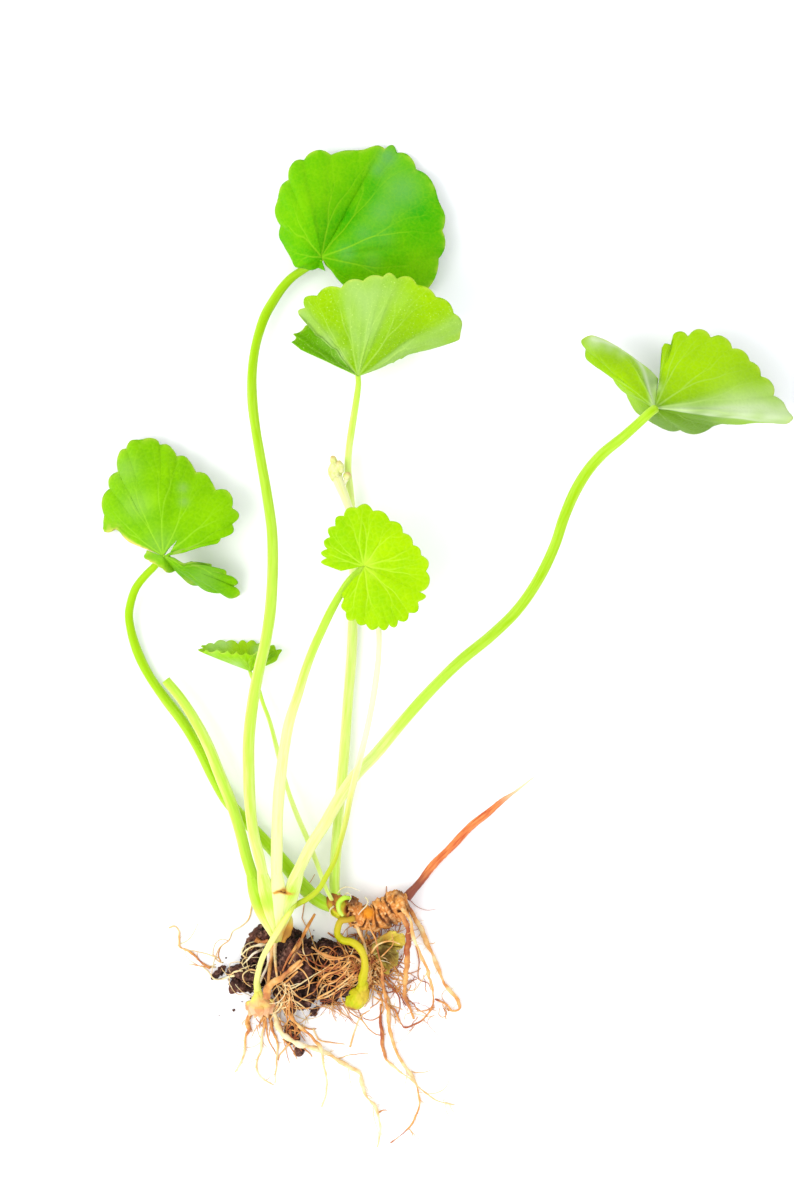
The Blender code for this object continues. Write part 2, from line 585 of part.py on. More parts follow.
root("root_white", [(268, 944), (259, 945), (251, 947), (242, 955)], (0.5, 0.4))
root("root_mat_1", [(311, 947), (325, 955), (340, 958), (354, 956), (362, 962)], (0.6, 0.5))
root("root_mat_2", [(317, 986), (326, 975), (340, 970), (351, 961)], (0.6, 0.4))
root("root_mat_3", [(318, 998), (331, 991), (345, 981), (356, 970)], (0.6, 0.4))

# Stalks of the open bloom and of the green fruit hang down over the soil, and a young shoot curls beside them
root(
    "bloom_stalk",
    [(276, 943), (271, 949), (266, 958), (262, 968), (259, 980), (257, 990)],
    (1.3, 1.2, 1.4), PALE_STALK, start_height=10.4, sides=STALK_SIDES,
)
ball("bloom", (262, 1006, 4.4), (7.0, 4.8, 4.6), -6, BUD, segments=12, rings=8)
root(
    "fruit_stalk",
    [(347, 924), (341, 924), (338, 929), (338, 936), (344, 942), (354, 944), (361, 951),
     (365, 962), (364, 974), (361, 985)],
    (1.1, 1.3, 1.3, 1.3, 1.2), FRUIT, start_height=5.0, step=2.2 * MM, sides=STALK_SIDES,
)
ball("fruit", (357, 1000, 4.2), (4.6, 5.0, 4.4), 20, FRUIT)
root(
    "young_shoot",
    [(351, 898), (344, 898), (339, 903), (339, 910), (343, 916)],
    (0.9, 1.0, 0.9), STALK, step=1.6 * MM, sides=STALK_SIDES,
)
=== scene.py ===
"""Asiatic pennywort (Centella asiatica): the looks of one uprooted plant, lying on a white surface.

Lengths are millimetres until a mesh is made of them. A point of the plant is written as
(column, row, height): the pixel of the 794 x 1190 photograph where it shows, and its height in
millimetres over the surface.
"""

import bpy
import numpy as np
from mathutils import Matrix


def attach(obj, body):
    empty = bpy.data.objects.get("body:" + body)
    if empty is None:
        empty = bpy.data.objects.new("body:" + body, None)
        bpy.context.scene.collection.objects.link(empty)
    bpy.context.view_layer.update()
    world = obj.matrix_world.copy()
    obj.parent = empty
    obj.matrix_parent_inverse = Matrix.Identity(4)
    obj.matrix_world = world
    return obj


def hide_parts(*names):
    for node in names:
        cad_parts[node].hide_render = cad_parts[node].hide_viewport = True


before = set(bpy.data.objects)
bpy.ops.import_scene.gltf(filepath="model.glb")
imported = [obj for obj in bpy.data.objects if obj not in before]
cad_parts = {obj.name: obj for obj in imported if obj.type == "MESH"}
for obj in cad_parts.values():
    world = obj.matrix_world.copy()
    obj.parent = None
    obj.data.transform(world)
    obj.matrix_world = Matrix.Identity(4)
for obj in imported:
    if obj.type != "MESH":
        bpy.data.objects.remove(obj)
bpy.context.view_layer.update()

# Soil: damp clay loam in five lumps and three crumbs, still held by the roots. It tore off the
# ground as the plant was pulled, so it is rough all over, and flat only where it lies.
MM = 0.001
PER_MM = 1 / MM
PIXEL = 0.2
EYE_HEIGHT = 661.0
PICTURE_MIDDLE = np.array((397.0, 595.0))
ORIGIN_PIXEL = np.array((442.42, 645.98))


def place(points):
    """Millimetres in the plant's frame for (column, row, height) points.

    A raised point is drawn towards the picture's middle by its share of the eye's height.
    """
    points = np.asarray(points, float)
    nearer = (EYE_HEIGHT - points[..., 2:]) / EYE_HEIGHT
    plan = PICTURE_MIDDLE - ORIGIN_PIXEL + (points[..., :2] - PICTURE_MIDDLE) * nearer
    return np.concatenate((plan * (PIXEL, -PIXEL), points[..., 2:]), axis=-1)


def smooth(points, count, corners=None):
    """A curve through points, read at count places evenly along it, and each place's share of the
    way through the list. Between two points runs a cubic with their places and slopes, and a slope
    is that of the parabola through a point and its neighbours. Next to a corner, the cubic's slope
    there is the one that makes it a parabola."""
    points = np.asarray(points, float)
    lengths = np.linalg.norm(np.diff(points, axis=0), axis=1)
    reach = np.concatenate(([0.0], np.cumsum(lengths)))
    slopes = np.gradient(points, reach, axis=0)
    leaving, coming = slopes[:-1], slopes[1:]
    if corners is not None:
        chords = 2 * np.diff(points, axis=0) / lengths[:, None]
        leaving = np.where(corners[:-1, None], chords - slopes[1:], slopes[:-1])
        coming = np.where(corners[1:, None], chords - slopes[:-1], slopes[1:])
    at = np.linspace(0.0, reach[-1], count)
    piece = np.clip(np.searchsorted(reach, at, side="right") - 1, 0, len(lengths) - 1)
    length = lengths[piece][:, None]
    part = (at - reach[piece])[:, None] / length
    curve = (
        (1 + 2 * part) * (1 - part) ** 2 * points[piece]
        + part * (1 - part) ** 2 * length * leaving[piece]
        + part**2 * (3 - 2 * part) * points[piece + 1]
        - part**2 * (1 - part) * length * coming[piece]
    )
    return curve, (piece + part[:, 0]) / len(lengths)


def spread(values, shares):
    """Reads a few values, spread evenly from 0 to 1, at the given shares."""
    return np.interp(shares, np.linspace(0, 1, len(values)), values)


def grain(points, size, seed=0):
    """Smooth noise from -1 to 1 in cubes of a size: each corner's value is a hash of its whole
    numbers, and the eight values are blended by the cube's smoothstep weights."""
    cells = np.asarray(points) / size
    low = np.floor(cells).astype(np.int64)
    part = cells - low
    part = part * part * (3 - 2 * part)
    total = np.zeros(cells.shape[:-1])
    for corner in np.ndindex(2, 2, 2):
        at = (low + corner) * (73856093, 19349663, 83492791)
        mixed = at[..., 0] ^ at[..., 1] ^ at[..., 2] ^ (seed * 2654435761)
        mixed = ((mixed ^ (mixed >> 13)) * 1274126177) & 0xFFFFFFFF
        value = ((mixed ^ (mixed >> 16)) & 0xFFFF) / 32767.5 - 1
        total += value * np.prod(np.where(corner, part, 1 - part), axis=-1)
    return total


def wrapped(count, rows, sides):
    """Faces of closed skins: quads round and along, and triangles to a point at either end.

    Points are numbered ring by ring for every skin, then come all first ends and all last ends.
    """
    index = np.arange(count * rows * sides).reshape(count, rows, sides)
    index = np.concatenate((index, index[..., :1]), axis=-1)
    corners = (index[:, :-1, :-1], index[:, 1:, :-1], index[:, 1:, 1:], index[:, :-1, 1:])
    first = np.full((count, sides), count * rows * sides) + np.arange(count)[:, None]
    starts = np.stack((first, index[:, 0, :-1], index[:, 0, 1:]), axis=-1)
    ends = np.stack((index[:, -1, :-1], first + count, index[:, -1, 1:]), axis=-1)
    quads = np.stack(corners, axis=-1).reshape(-1, 4)
    return [*quads.tolist(), *starts.reshape(-1, 3).tolist(), *ends.reshape(-1, 3).tolist()]


def make(name, form, finish, slot, *nodes):
    """Puts a form in a mesh, in metres and nowhere below the surface, to stand for CAD nodes.

    A form is its points, its faces and its marks: numbers or vectors, one a point, that the finish
    reads by their names.
    """
    points, faces, marks = form
    points[:, 2] = np.maximum(points[:, 2], 0.0)
    mesh = bpy.data.meshes.new(name)
    mesh.from_pydata(points * MM, [], faces)
    for label, values in marks.items():
        kind, key = ("FLOAT", "value") if np.ndim(values) == 1 else ("FLOAT_VECTOR", "vector")
        mesh.attributes.new(label, kind, "POINT").data.foreach_set(key, np.ravel(values))
    mesh.shade_smooth()
    mesh.materials.append(finish)
    piece = bpy.data.objects.new(name, mesh)
    bpy.context.scene.collection.objects.link(piece)
    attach(piece, "root")
    if nodes:
        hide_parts(*nodes)


def linear(colour):
    """The linear colour of an sRGB hex value, with full alpha."""
    parts = np.array([int(colour[i : i + 2], 16) for i in (1, 3, 5)]) / 255
    parts = np.where(parts <= 0.04045, parts / 12.92, ((parts + 0.055) / 1.055) ** 2.4)
    return (*parts.tolist(), 1.0)


def add(tree, kind, inputs, output=0, **settings):
    """Adds a node with its settings, and returns one of its outputs, by its number or name. Each
    input gets a value, a hex colour or another node's output."""
    node = tree.nodes.new(kind)
    for name, value in settings.items():
        setattr(node, name, value)
    for socket, value in inputs.items():
        if isinstance(value, bpy.types.NodeSocket):
            tree.links.new(value, node.inputs[socket])
        else:
            node.inputs[socket].default_value = linear(value) if isinstance(value, str) else value
    return node.outputs[output]


def coat(tree, colour, source, over, start=0.0, stop=1.0, low=0.0, high=1.0):
    """One colour under a coat of another. As the source, a node's output or a mark's name, goes
    from start to stop, the coat's share goes from low to high, and it stays there past them. The
    Mix node has inputs of the same name for each kind of value: its colours are 6 and 7."""
    if isinstance(source, str):
        source = add(tree, "ShaderNodeAttribute", {}, "Fac", attribute_name=source)
    ends = {"From Min": start, "From Max": stop, "To Min": low, "To Max": high}
    share = add(tree, "ShaderNodeMapRange", {"Value": source, **ends})
    return add(tree, "ShaderNodeMix", {0: share, 6: colour, 7: over}, 2, data_type="RGBA")


def new_finish(name, roughness, shine):
    """A finish's material, its node tree and its Principled shader, with what is constant set."""
    finish = bpy.data.materials.new(name)
    finish.use_nodes = True
    shader = finish.node_tree.nodes["Principled BSDF"]
    shader.inputs["Roughness"].default_value = roughness
    shader.inputs["Specular IOR Level"].default_value = shine
    return finish, finish.node_tree, shader


def dress(tree, shader, colour, relief, depth, strength=0.6):
    """Gives a shader its colour, and bumps of a depth in millimetres after a relief."""
    bumps = {"Strength": strength, "Distance": depth * MM, "Height": relief}
    tree.links.new(colour, shader.inputs["Base Color"])
    tree.links.new(add(tree, "ShaderNodeBump", bumps), shader.inputs["Normal"])


# Damp clay loam: brown on its crumbs of 0.8 mm and without shine, with painted shade, nearly black,
# in the creases between its lumps
loam, tree, shader = new_finish("damp_clay_loam", 0.95, 0.15)
where = add(tree, "ShaderNodeTexCoord", {}, "Object")
lumps = add(tree, "ShaderNodeTexNoise", {"Vector": where, "Scale": PER_MM / 2.6, "Detail": 3.0})
crumbs = add(tree, "ShaderNodeTexNoise", {"Vector": where, "Scale": PER_MM / 0.8, "Detail": 5.0})
brown = coat(tree, "#2e1f1e", lumps, "#664034", 0.35, 0.65)
brown = coat(tree, brown, crumbs, "#98705e", 0.5, 0.75)
# Painted shade: the hollow mark darkens the creases between the lumps nearly to black
brown = coat(tree, brown, "hollow", "#140a08", 0.4, 0.78, high=0.95)
dress(tree, shader, brown, crumbs, 0.5)

CLODS = {
    "soil_main": (
        [(277, 944), (284, 934), (292, 927), (300, 930), (307, 935), (311, 944), (316, 955),
         (318, 968), (319, 984), (317, 999), (308, 1008), (294, 1008), (282, 1003), (272, 992),
         (269, 976), (268, 958)],
        8.0,
    ),
    "soil_mat": (
        [(313, 939), (326, 939), (338, 942), (350, 945), (361, 951), (368, 961), (370, 973),
         (364, 983), (353, 987), (346, 994), (338, 1002), (324, 1003), (317, 990), (317, 968),
         (315, 952)],
        6.0,
    ),
    "soil_left": (
        [(248, 946), (257, 944), (264, 949), (268, 960), (269, 974), (268, 986), (258, 993),
         (244, 993), (234, 989), (229, 979), (231, 970), (238, 963), (241, 953)],
        5.5,
    ),
    "soil_top": ([(255, 934), (260, 926), (267, 928), (270, 935), (266, 941), (257, 941)], 4.0),
    "soil_tail": ([(214, 971), (219, 965), (226, 966), (227, 973), (221, 977), (215, 976)], 2.6),
    "soil_crumb_1": (
        [(308, 1010), (312, 1007), (318, 1008), (318, 1013), (314, 1017), (308, 1015)],
        1.6,
    ),
    "soil_crumb_2": (
        [(286, 1028), (292, 1024), (299, 1027), (302, 1034), (297, 1040), (289, 1037)],
        1.8,
    ),
    "soil_crumb_3": ([(294, 1050), (299, 1048), (303, 1051), (301, 1056), (295, 1055)], 1.2),
}
LUMPINESS = ((3.8, 2.2), (1.9, 2.0), (0.8, 0.7))


def clod(outline, height, sides, rows):
    """A rough dome: at a climb from 0 to a quarter turn the outline shrinks to cos(climb) ** 0.7
    of its reach, sin(climb) of the height up. The unsigned values of three sizes of grain push it
    out into rounded lumps with sharp creases between them. A low lump is smoother, and browner
    because less shade is painted into its creases. Returns the dome's rows, its two ends, and how
    hollow each point is, which the loam's finish paints as shade."""
    ring, _ = smooth([*outline, outline[0]], sides + 1)
    ring = ring[:-1]
    middle = ring.mean(axis=0)
    climb = np.linspace(0, np.pi / 2, rows + 1)[:-1, None]
    plan = middle + (ring - middle) * (np.cos(climb) ** 0.7)[..., None]
    rise = np.broadcast_to(height * np.sin(climb), plan.shape[:2])
    dome = place(np.dstack((plan, rise)))
    ends = place([(*middle, 0.0), (*middle, height)])
    outwards = dome - ends[0]
    outwards /= np.linalg.norm(outwards, axis=-1, keepdims=True)
    push = sum(
        amount * (abs(grain(dome, size, seed)) - 0.35)
        for seed, (size, amount) in enumerate(LUMPINESS)
    )
    lumpy = min(1.0, 0.2 + height / 5)
    dome = dome + outwards * (push * lumpy)[..., None]
    dome[..., 2] = np.maximum(dome[..., 2], 0.0)
    hollows = np.clip(0.5 - 1.1 * push / sum(amount for _, amount in LUMPINESS), 0, 1)
    return dome, ends, lumpy * np.append(hollows, (0.5, 0.4))


clod_tops = []
for name, (outline, height) in CLODS.items():
    sides = 200 if height > 5 else 90
    dome, ends, hollows = clod(outline, height, sides, sides // 3)
    clod_tops.append(dome)
    points = np.concatenate((dome.reshape(-1, 3), ends))
    form = (points, wrapped(1, sides // 3, sides), {"hollow": hollows})
    make(name.replace("soil", "loam"), form, loam, "soil", name)


# Crumbs of the same loam that stick to the lumps and lie close round them. They broke off as the
# plant was laid down.
CELL = 0.25
TABLE_CORNER = np.array((-50.0, -90.0))
TABLE_CELLS = (200, 170)
UP = np.array((0.0, 0.0, 1.0))
top_table = np.zeros(TABLE_CELLS)
for dome in clod_tops:
    cells = ((dome[..., :2] - TABLE_CORNER) / CELL).astype(int)
    np.maximum.at(top_table, (cells[..., 0], cells[..., 1]), dome[..., 2])
for axis in (0, 1):
    top_table = np.maximum.reduce([np.roll(top_table, step, axis) for step in (-1, 0, 1)])


def ground(plan):
    """The height of the loam under places in plan, or 0: the highest point in the place's cell."""
    cells = ((plan - TABLE_CORNER) / CELL).astype(int)
    inside = ((cells >= 0) & (cells < TABLE_CELLS)).all(axis=-1)
    cells = np.clip(cells, 0, np.array(TABLE_CELLS) - 1)
    return np.where(inside, top_table[cells[..., 0], cells[..., 1]], 0.0)


def skin(lines, widths, sides):
    """Closed round skins over lines (count, points, 3): a ring of half the width stands across
    the line at each point, and the skin closes on the line's own ends. A small push to one side
    gives an upright line a way across too."""
    along = np.gradient(lines, axis=1)
    along /= np.linalg.norm(along, axis=-1, keepdims=True)
    across = np.cross(along, UP) + (0.001, 0.0, 0.0)
    across /= np.linalg.norm(across, axis=-1, keepdims=True)
    upright = np.cross(across, along)
    turn = np.linspace(0, 2 * np.pi, sides, endpoint=False)[:, None]
    half = np.asarray(widths, float) / 2
    half = half if half.ndim == 3 else np.repeat(half[..., None], sides, axis=-1)
    ways = across[:, :, None] * np.cos(turn) + upright[:, :, None] * np.sin(turn)
    rings = lines[:, :, None] + half[..., None] * ways
    points = np.concatenate((rings.reshape(-1, 3), lines[:, 0], lines[:, -1]))
    return points, wrapped(*lines.shape[:2], sides)


def each(values, rows, sides):
    """One value a skin, for every point of skins in the order that skin() numbers them."""
    return np.concatenate((np.repeat(values, rows * sides), values, values))


CRUMB_COUNT = 700
CRUMB_RINGS, CRUMB_SIDES = 5, 7
LOOSE_SHARE = 0.12
LOOSE_SPREAD = 2.5
FINEST_CRUMB, CRUMB_RANGE = 0.22, 0.7
rng = np.random.default_rng(4)
bases = np.concatenate([dome[4:].reshape(-1, 3) for dome in clod_tops[:4]])
middles = bases[rng.integers(0, len(bases), CRUMB_COUNT)]
loose = rng.random(CRUMB_COUNT) < LOOSE_SHARE
middles[loose, :2] += rng.normal(0, LOOSE_SPREAD, (loose.sum(), 2))
middles[loose, 2] = ground(middles[loose, :2]) + 0.15
sizes = FINEST_CRUMB + CRUMB_RANGE * rng.random(CRUMB_COUNT) ** 3
heading = rng.uniform(0, 2 * np.pi, CRUMB_COUNT)
axes = np.stack((np.cos(heading), np.sin(heading), rng.uniform(-0.5, 0.5, CRUMB_COUNT)), axis=-1)
steps = np.linspace(-0.48, 0.48, CRUMB_RINGS)
lines = middles[:, None] + axes[:, None] * (sizes[:, None] * steps)[..., None]
uneven = rng.uniform(0.7, 1.2, (CRUMB_COUNT, CRUMB_RINGS))
points, faces = skin(lines, sizes[:, None] * np.sqrt(1 - (2 * steps) ** 2) * uneven, CRUMB_SIDES)
hollows = each(rng.uniform(0.2, 0.6, CRUMB_COUNT), CRUMB_RINGS, CRUMB_SIDES)
make("loam_grains", (points, faces, {"hollow": hollows}), loam, "soil")


# Rhizome: the old creeping stem, a knobbly orange-brown rod ringed by the scars of fallen leaves,
# with a dark knob where the side crown sits and a round scar where a root was torn away.
RHIZOME_ROUTE = [
    (350, 909, 4.4), (357, 914, 4.3), (366, 917, 4.0), (375, 917, 3.8), (386, 911, 3.8),
    (397, 904, 3.8), (406, 899, 3.6),
]
RHIZOME_WIDTHS = (2.5, 4.6, 5.0, 4.6, 5.3, 5.0, 5.8, 5.5, 6.2, 5.7, 6.3, 5.8, 6.2, 5.3, 5.6, 3.4)


def tube(line, widths, sides=20, rib=(0, 0.0), rough=(), flat=1.0, rings=(0.0, 1.0), hoop=0.0,
         seed=0):
    """The form of a skin over one line. Half its width is the spread widths' half, times
    1 + rib depth * cos(rib count * turn) and 1 + ring depth * the ring wave, plus grain in the
    sizes and depths that rough gives, less where it is thin. It is flat times as high as wide.
    With a hoop, the grain is drawn out round the line by 1 / hoop, and its unsigned value makes
    rounded ridges with sharp creases between them."""
    steps = np.linalg.norm(np.diff(line, axis=0), axis=1)
    reach = np.concatenate(([0.0], np.cumsum(steps)))
    share = reach / reach[-1]
    half = (spread(widths, share) / 2)[:, None]
    turn = np.linspace(0, 2 * np.pi, sides, endpoint=False)
    drum = np.dstack((half * np.cos(turn), half * np.sin(turn), np.repeat(reach[:, None], sides, 1)))
    wave = np.cos(2 * np.pi * (reach[:, None] / rings[1] + 0.5 * grain(drum, 2.4, seed + 7)))
    radius = half * (1 + rib[1] * np.cos(rib[0] * turn)) * (1 + rings[0] * wave)
    bumps = 0 * wave
    for layer, (size, depth) in enumerate(rough):
        if hoop:
            bumps = bumps + depth * (2.6 * abs(grain(drum * (hoop, hoop, 1), size, seed + layer)) - 1)
        else:
            bumps = bumps + depth * grain(drum, size, seed + layer)
    bumps = bumps * np.minimum(1, half / 0.5)
    radius = (radius + bumps) / np.hypot(np.cos(turn), np.sin(turn) / flat)
    points, faces = skin(line[None], 2 * radius[None], sides)
    depth = sum(depth for _, depth in rough) + 0.01
    # How low a point lies in the ring wave and the grain: finishes paint shade there
    low = np.clip(0.5 - (0.2 if rings[0] else 0.0) * wave - 0.5 * bumps / depth, 0, 1)
    marks = {
        "along": np.append(np.repeat(share, sides), (0, 1)),
        "hollow": np.append(low, (0.5, 0.5)),
        "drum": np.concatenate((drum.reshape(-1, 3), [(0, 0, 0), (0, 0, reach[-1])])) * MM,
    }
    return points, faces, marks


def join(*forms):
    """One form out of several that have the same marks."""
    shifts = np.cumsum([0] + [len(points) for points, _, _ in forms])
    faces = [
        [corner + shift for corner in face]
        for (_, own, _), shift in zip(forms, shifts.tolist())
        for face in own
    ]
    marks = {name: np.concatenate([form[2][name] for form in forms]) for name in forms[0][2]}
    return np.concatenate([points for points, _, _ in forms]), faces, marks


def ball(middle, size, turn, rows, **extra):
    """A head: a tube over its own long axis, as wide as a circle's chord there. size is its width,
    length and height, and turn the degrees that its length leans left from up the picture."""
    lean = np.radians(turn)
    axis = np.array((-np.sin(lean), np.cos(lean), 0.0)) * size[1] / 2
    line = place([middle]) - axis * np.cos(np.linspace(0, np.pi, rows))[:, None]
    widths = size[0] * np.sqrt(1 - np.linspace(-1, 1, 121) ** 2)
    return tube(line, widths, rows, flat=size[2] / size[0], **extra)


def near(points, spot, reach):
    """How near points are in plan to a (column, row, height) place: a bell of a reach in mm."""
    away = np.linalg.norm(points[:, :2] - place([spot])[0, :2], axis=1) / reach
    return np.exp(-(away**2))


# Corky bark: tan to orange on its ridges, with painted shade, dark, in the creases and the troughs
# of its rings, dark where it has rotted, and bare smooth orange at a scar
bark, tree, shader = new_finish("corky_bark", 0.9, 0.1)
drum = add(tree, "ShaderNodeAttribute", {}, "Vector", attribute_name="drum")
blots = add(tree, "ShaderNodeTexNoise", {"Vector": drum, "Scale": PER_MM / 1.8, "Detail": 3.0})
drawn = add(tree, "ShaderNodeMapping", {"Vector": drum, "Scale": (1, 1, 1 / 2.5)})
fibres = add(tree, "ShaderNodeTexNoise", {"Vector": drawn, "Scale": PER_MM / 0.5, "Detail": 5.0})
orange = coat(tree, "#d89248", blots, "#bc7034", 0.35, 0.7)
orange = coat(tree, orange, fibres, "#eec488", 0.48, 0.75)
orange = coat(tree, orange, "burnt", "#5c3c2c")
# Painted shade: the hollow mark darkens the creases and ring troughs
orange = coat(tree, orange, "hollow", "#482418", 0.62, 0.92, high=0.9)
orange = coat(tree, orange, "scar", "#d8861c")
dress(tree, shader, orange, fibres, 0.3)

COARSE = ((1.2, 0.28), (0.6, 0.25), (0.3, 0.1))
KNOBS = (
    ((353, 904, 5.0), (3.2, 3.6, 3.4), 20, 44, COARSE, 0.7),
    ((369, 914, 5.6), (2.4, 2.6, 2.2), 60, 40, ((0.9, 0.05),), 0.0),
    ((384, 908, 5.0), (3.4, 3.0, 3.0), 50, 44, COARSE, 0.3),
    ((393, 914, 4.2), (4.6, 3.4, 4.0), -50, 44, COARSE, 0.3),
    ((397, 897, 4.5), (3.2, 4.2, 3.6), 80, 44, COARSE, 0.3),
    ((353, 922, 3.6), (2.2, 3.2, 2.4), 35, 36, COARSE, 0.3),
)
stem, _ = smooth(place(RHIZOME_ROUTE), 240)
rod = tube(stem, RHIZOME_WIDTHS, 80, rough=COARSE, rings=(0.03, 1.25), hoop=0.3, seed=20)
knobs = [
    ball(middle, size, turn, rows, rough=rough, hoop=hoop, seed=24 + i)
    for i, (middle, size, turn, rows, rough, hoop) in enumerate(KNOBS)
]
rhizome = join(rod, *knobs)
points = rhizome[0]
rhizome[2]["scar"] = np.clip(1.5 * near(points, (368, 913, 6.5), 1.1) * (points[:, 2] > 5.2), 0, 0.9)
rhizome[2]["burnt"] = np.clip(
    near(points, (352, 900, 6.0), 1.4) + near(points, (412, 905, 4.0), 1.3)
    + 0.8 * near(points, (400, 891, 5.0), 1.0) + near(points, (391, 921, 3.0), 0.9), 0, 0.9
)
make("rhizome_bark", rhizome, bark, "rhizome", "rhizome")


# Old runner: the reddish shoot that once led to the mother plant, dried thin, wrinkled along its
# length, with one joint and a thread for a tip.
RUNNER_ROUTE = [
    (406, 898, 3.4), (411, 892, 3.2), (420, 882, 2.6), (432, 866, 2.0), (450, 848, 1.8),
    (470, 827, 2.4), (490, 811, 3.4), (503, 800, 4.2), (516, 791, 5.0), (525, 784, 5.5),
    (534, 777, 6.0),
]
RUNNER_WIDTHS = (2.0, 1.6, 1.5, 1.7, 1.5, 1.45, 1.6, 1.55, 1.5, 1.5, 1.3, 1.0, 0.5, 0.35, 0.15)

# Dried stem skin: red-brown, with pale wrinkles along it, and straw-coloured at its thin tip
runner_skin, tree, shader = new_finish("dried_red_stem", 0.6, 0.35)
drum = add(tree, "ShaderNodeAttribute", {}, "Vector", attribute_name="drum")
drawn = add(tree, "ShaderNodeMapping", {"Vector": drum, "Scale": (1, 1, 1 / 9)})
wrinkles = add(tree, "ShaderNodeTexNoise", {"Vector": drawn, "Scale": PER_MM / 0.35, "Detail": 4.0})
red = coat(tree, "#bc5424", wrinkles, "#e08846", 0.35, 0.65)
red = coat(tree, red, "along", "#6c342c", 0.1, 0.22, 0.85, 0.0)
red = coat(tree, red, "along", "#dcc89c", 0.74, 0.9)
dress(tree, shader, red, wrinkles, 0.15)
line, _ = smooth(place(RUNNER_ROUTE), 260)
runner = tube(line, RUNNER_WIDTHS, 28, rib=(7, 0.04), rough=((1.5, 0.06), (0.5, 0.03)), seed=30)
make("runner_stem", runner, runner_skin, "runner", "old_runner")


# Crown: the pale bases of the main shoot's leaf stalks, flattened and wrapped round each other as
# sheaths, white-green where the ground kept light off them, with a brown scar across.
SHEATHS = [
    [(250, 868, 8.2), (257, 893, 10.0), (265, 913, 10.8), (272, 929, 10.9), (277, 942, 10.4)],
    [(261, 868, 10.9), (267, 892, 11.3), (272, 911, 11.5), (276, 928, 11.2), (277, 941, 10.6)],
    [(277, 868, 11.0), (278, 892, 11.5), (278, 911, 11.6), (278, 928, 11.2), (277, 941, 10.6)],
    [(301, 868, 10.0), (292, 891, 11.0), (285, 909, 11.2), (280, 926, 10.9), (278, 941, 10.5)],
]
SHEATH_WIDTHS = (1.7, 2.5, 3.1, 3.5, 3.5, 3.0, 2.2, 1.2)
SCAR_AT = -48.3
SCAR_MIDDLE = -31.6


def stalk_finish(name, fresh, middle, pale, rust="#b98a3c"):
    """Smooth juicy stalk skin: by the pale mark its colour runs from fresh over middle to pale,
    with lengthwise streaks 0.4 mm wide. By the rust mark it turns to rust, and past 1 to dark
    brown. Light spreads a millimetre or so inside it."""
    finish, tree, shader = new_finish(name, 0.42, 0.12)
    drum = add(tree, "ShaderNodeAttribute", {}, "Vector", attribute_name="drum")
    drawn = add(tree, "ShaderNodeMapping", {"Vector": drum, "Scale": (1, 1, 1 / 14)})
    streaks = {"Vector": drawn, "Scale": PER_MM / 0.4, "Detail": 2.0}
    streaks = add(tree, "ShaderNodeTexNoise", streaks)
    ends = {"From Min": 0.3, "From Max": 0.7, "To Min": -0.12, "To Max": 0.12}
    streaky = add(tree, "ShaderNodeMapRange", {"Value": streaks, **ends})
    paleness = add(tree, "ShaderNodeAttribute", {}, "Fac", attribute_name="pale")
    paleness = add(tree, "ShaderNodeMath", {0: paleness, 1: streaky})
    colour = coat(tree, fresh, paleness, middle, 0.0, 0.5)
    colour = coat(tree, colour, paleness, pale, 0.5, 1.0)
    colour = coat(tree, colour, "rust", rust)
    colour = coat(tree, colour, "rust", "#60341c", 1.0, 2.0)
    shader.inputs["Subsurface Weight"].default_value = 0.12
    shader.inputs["Subsurface Radius"].default_value = (0.6, 1.0, 0.2)
    shader.inputs["Subsurface Scale"].default_value = 1.2 * MM
    dress(tree, shader, colour, streaks, 0.05)
    return finish


def tint(form, pales, rusts=(0.0, 0.0)):
    """A form with the marks that a stalk's skin reads: how pale and how rusty it is on its way."""
    marks = form[2]
    marks["pale"] = spread(pales, marks["along"])
    marks["rust"] = spread(rusts, marks["along"])
    return form


def stalk(route, widths, pales, sides=24, step=0.6, lit=0.3, rusts=(0.0, 0.0), **extra):
    """A leaf or flower stalk: a tube over its route, paler by lit * (0.8 - up ** 2), where up is
    how far a point faces up, because light shines through its sides."""
    route = place(route)
    length = np.linalg.norm(np.diff(route, axis=0), axis=1).sum()
    line, _ = smooth(route, int(length / step) + 4)
    extra = {"rib": (5, 0.025), "rough": ((6.0, 0.06),), **extra}
    form = tint(tube(line, widths, sides, **extra), pales, rusts)
    ways = form[0][: len(line) * sides].reshape(len(line), sides, 3) - line[:, None]
    upwards = (ways[..., 2] / np.linalg.norm(ways, axis=-1)).ravel()
    form[2]["pale"] += lit * (0.8 - np.append(upwards, (0, 0)) ** 2)
    return form


petiole_skin = stalk_finish("juicy_leaf_stalk", "#94c000", "#b6d84c", "#e2e89c", rust="#cc963c")
SHEATH_PALES = (
    (0.2, 0.25, 0.35, 0.55, 0.7, 0.6), (0.65, 0.6, 0.75, 0.8, 0.75, 0.6),
    (1.0, 1.1, 1.2, 1.1, 0.9, 0.7), (0.7, 0.75, 0.85, 0.8, 0.6, 0.5),
)
sheaths = [
    stalk(route, SHEATH_WIDTHS, pales, step=0.3, flat=0.8, seed=40 + i, rib=(9, 0.02),
          rusts=(0, 0, 0, 0, 0.1, 0.4))
    for i, (route, pales) in enumerate(zip(SHEATHS, SHEATH_PALES))
]
base = [(288, 905, 9.8), (287, 916, 9.8), (286, 927, 9.6), (281, 941, 9.2)]
base = stalk(base, (0.8, 1.8, 2.7, 3.1, 1.8), (0.6, 0.5), step=0.3, flat=0.8, seed=45,
             rough=((1.5, 0.3), (0.6, 0.2)), rusts=(0.1, 0.3, 0.6, 0.8, 1.1))
crown = join(*sheaths, base)
scar = np.exp(-(((crown[0][:, 1] - SCAR_AT - 0.5 * grain(crown[0], 2.0)) / 0.3) ** 2))
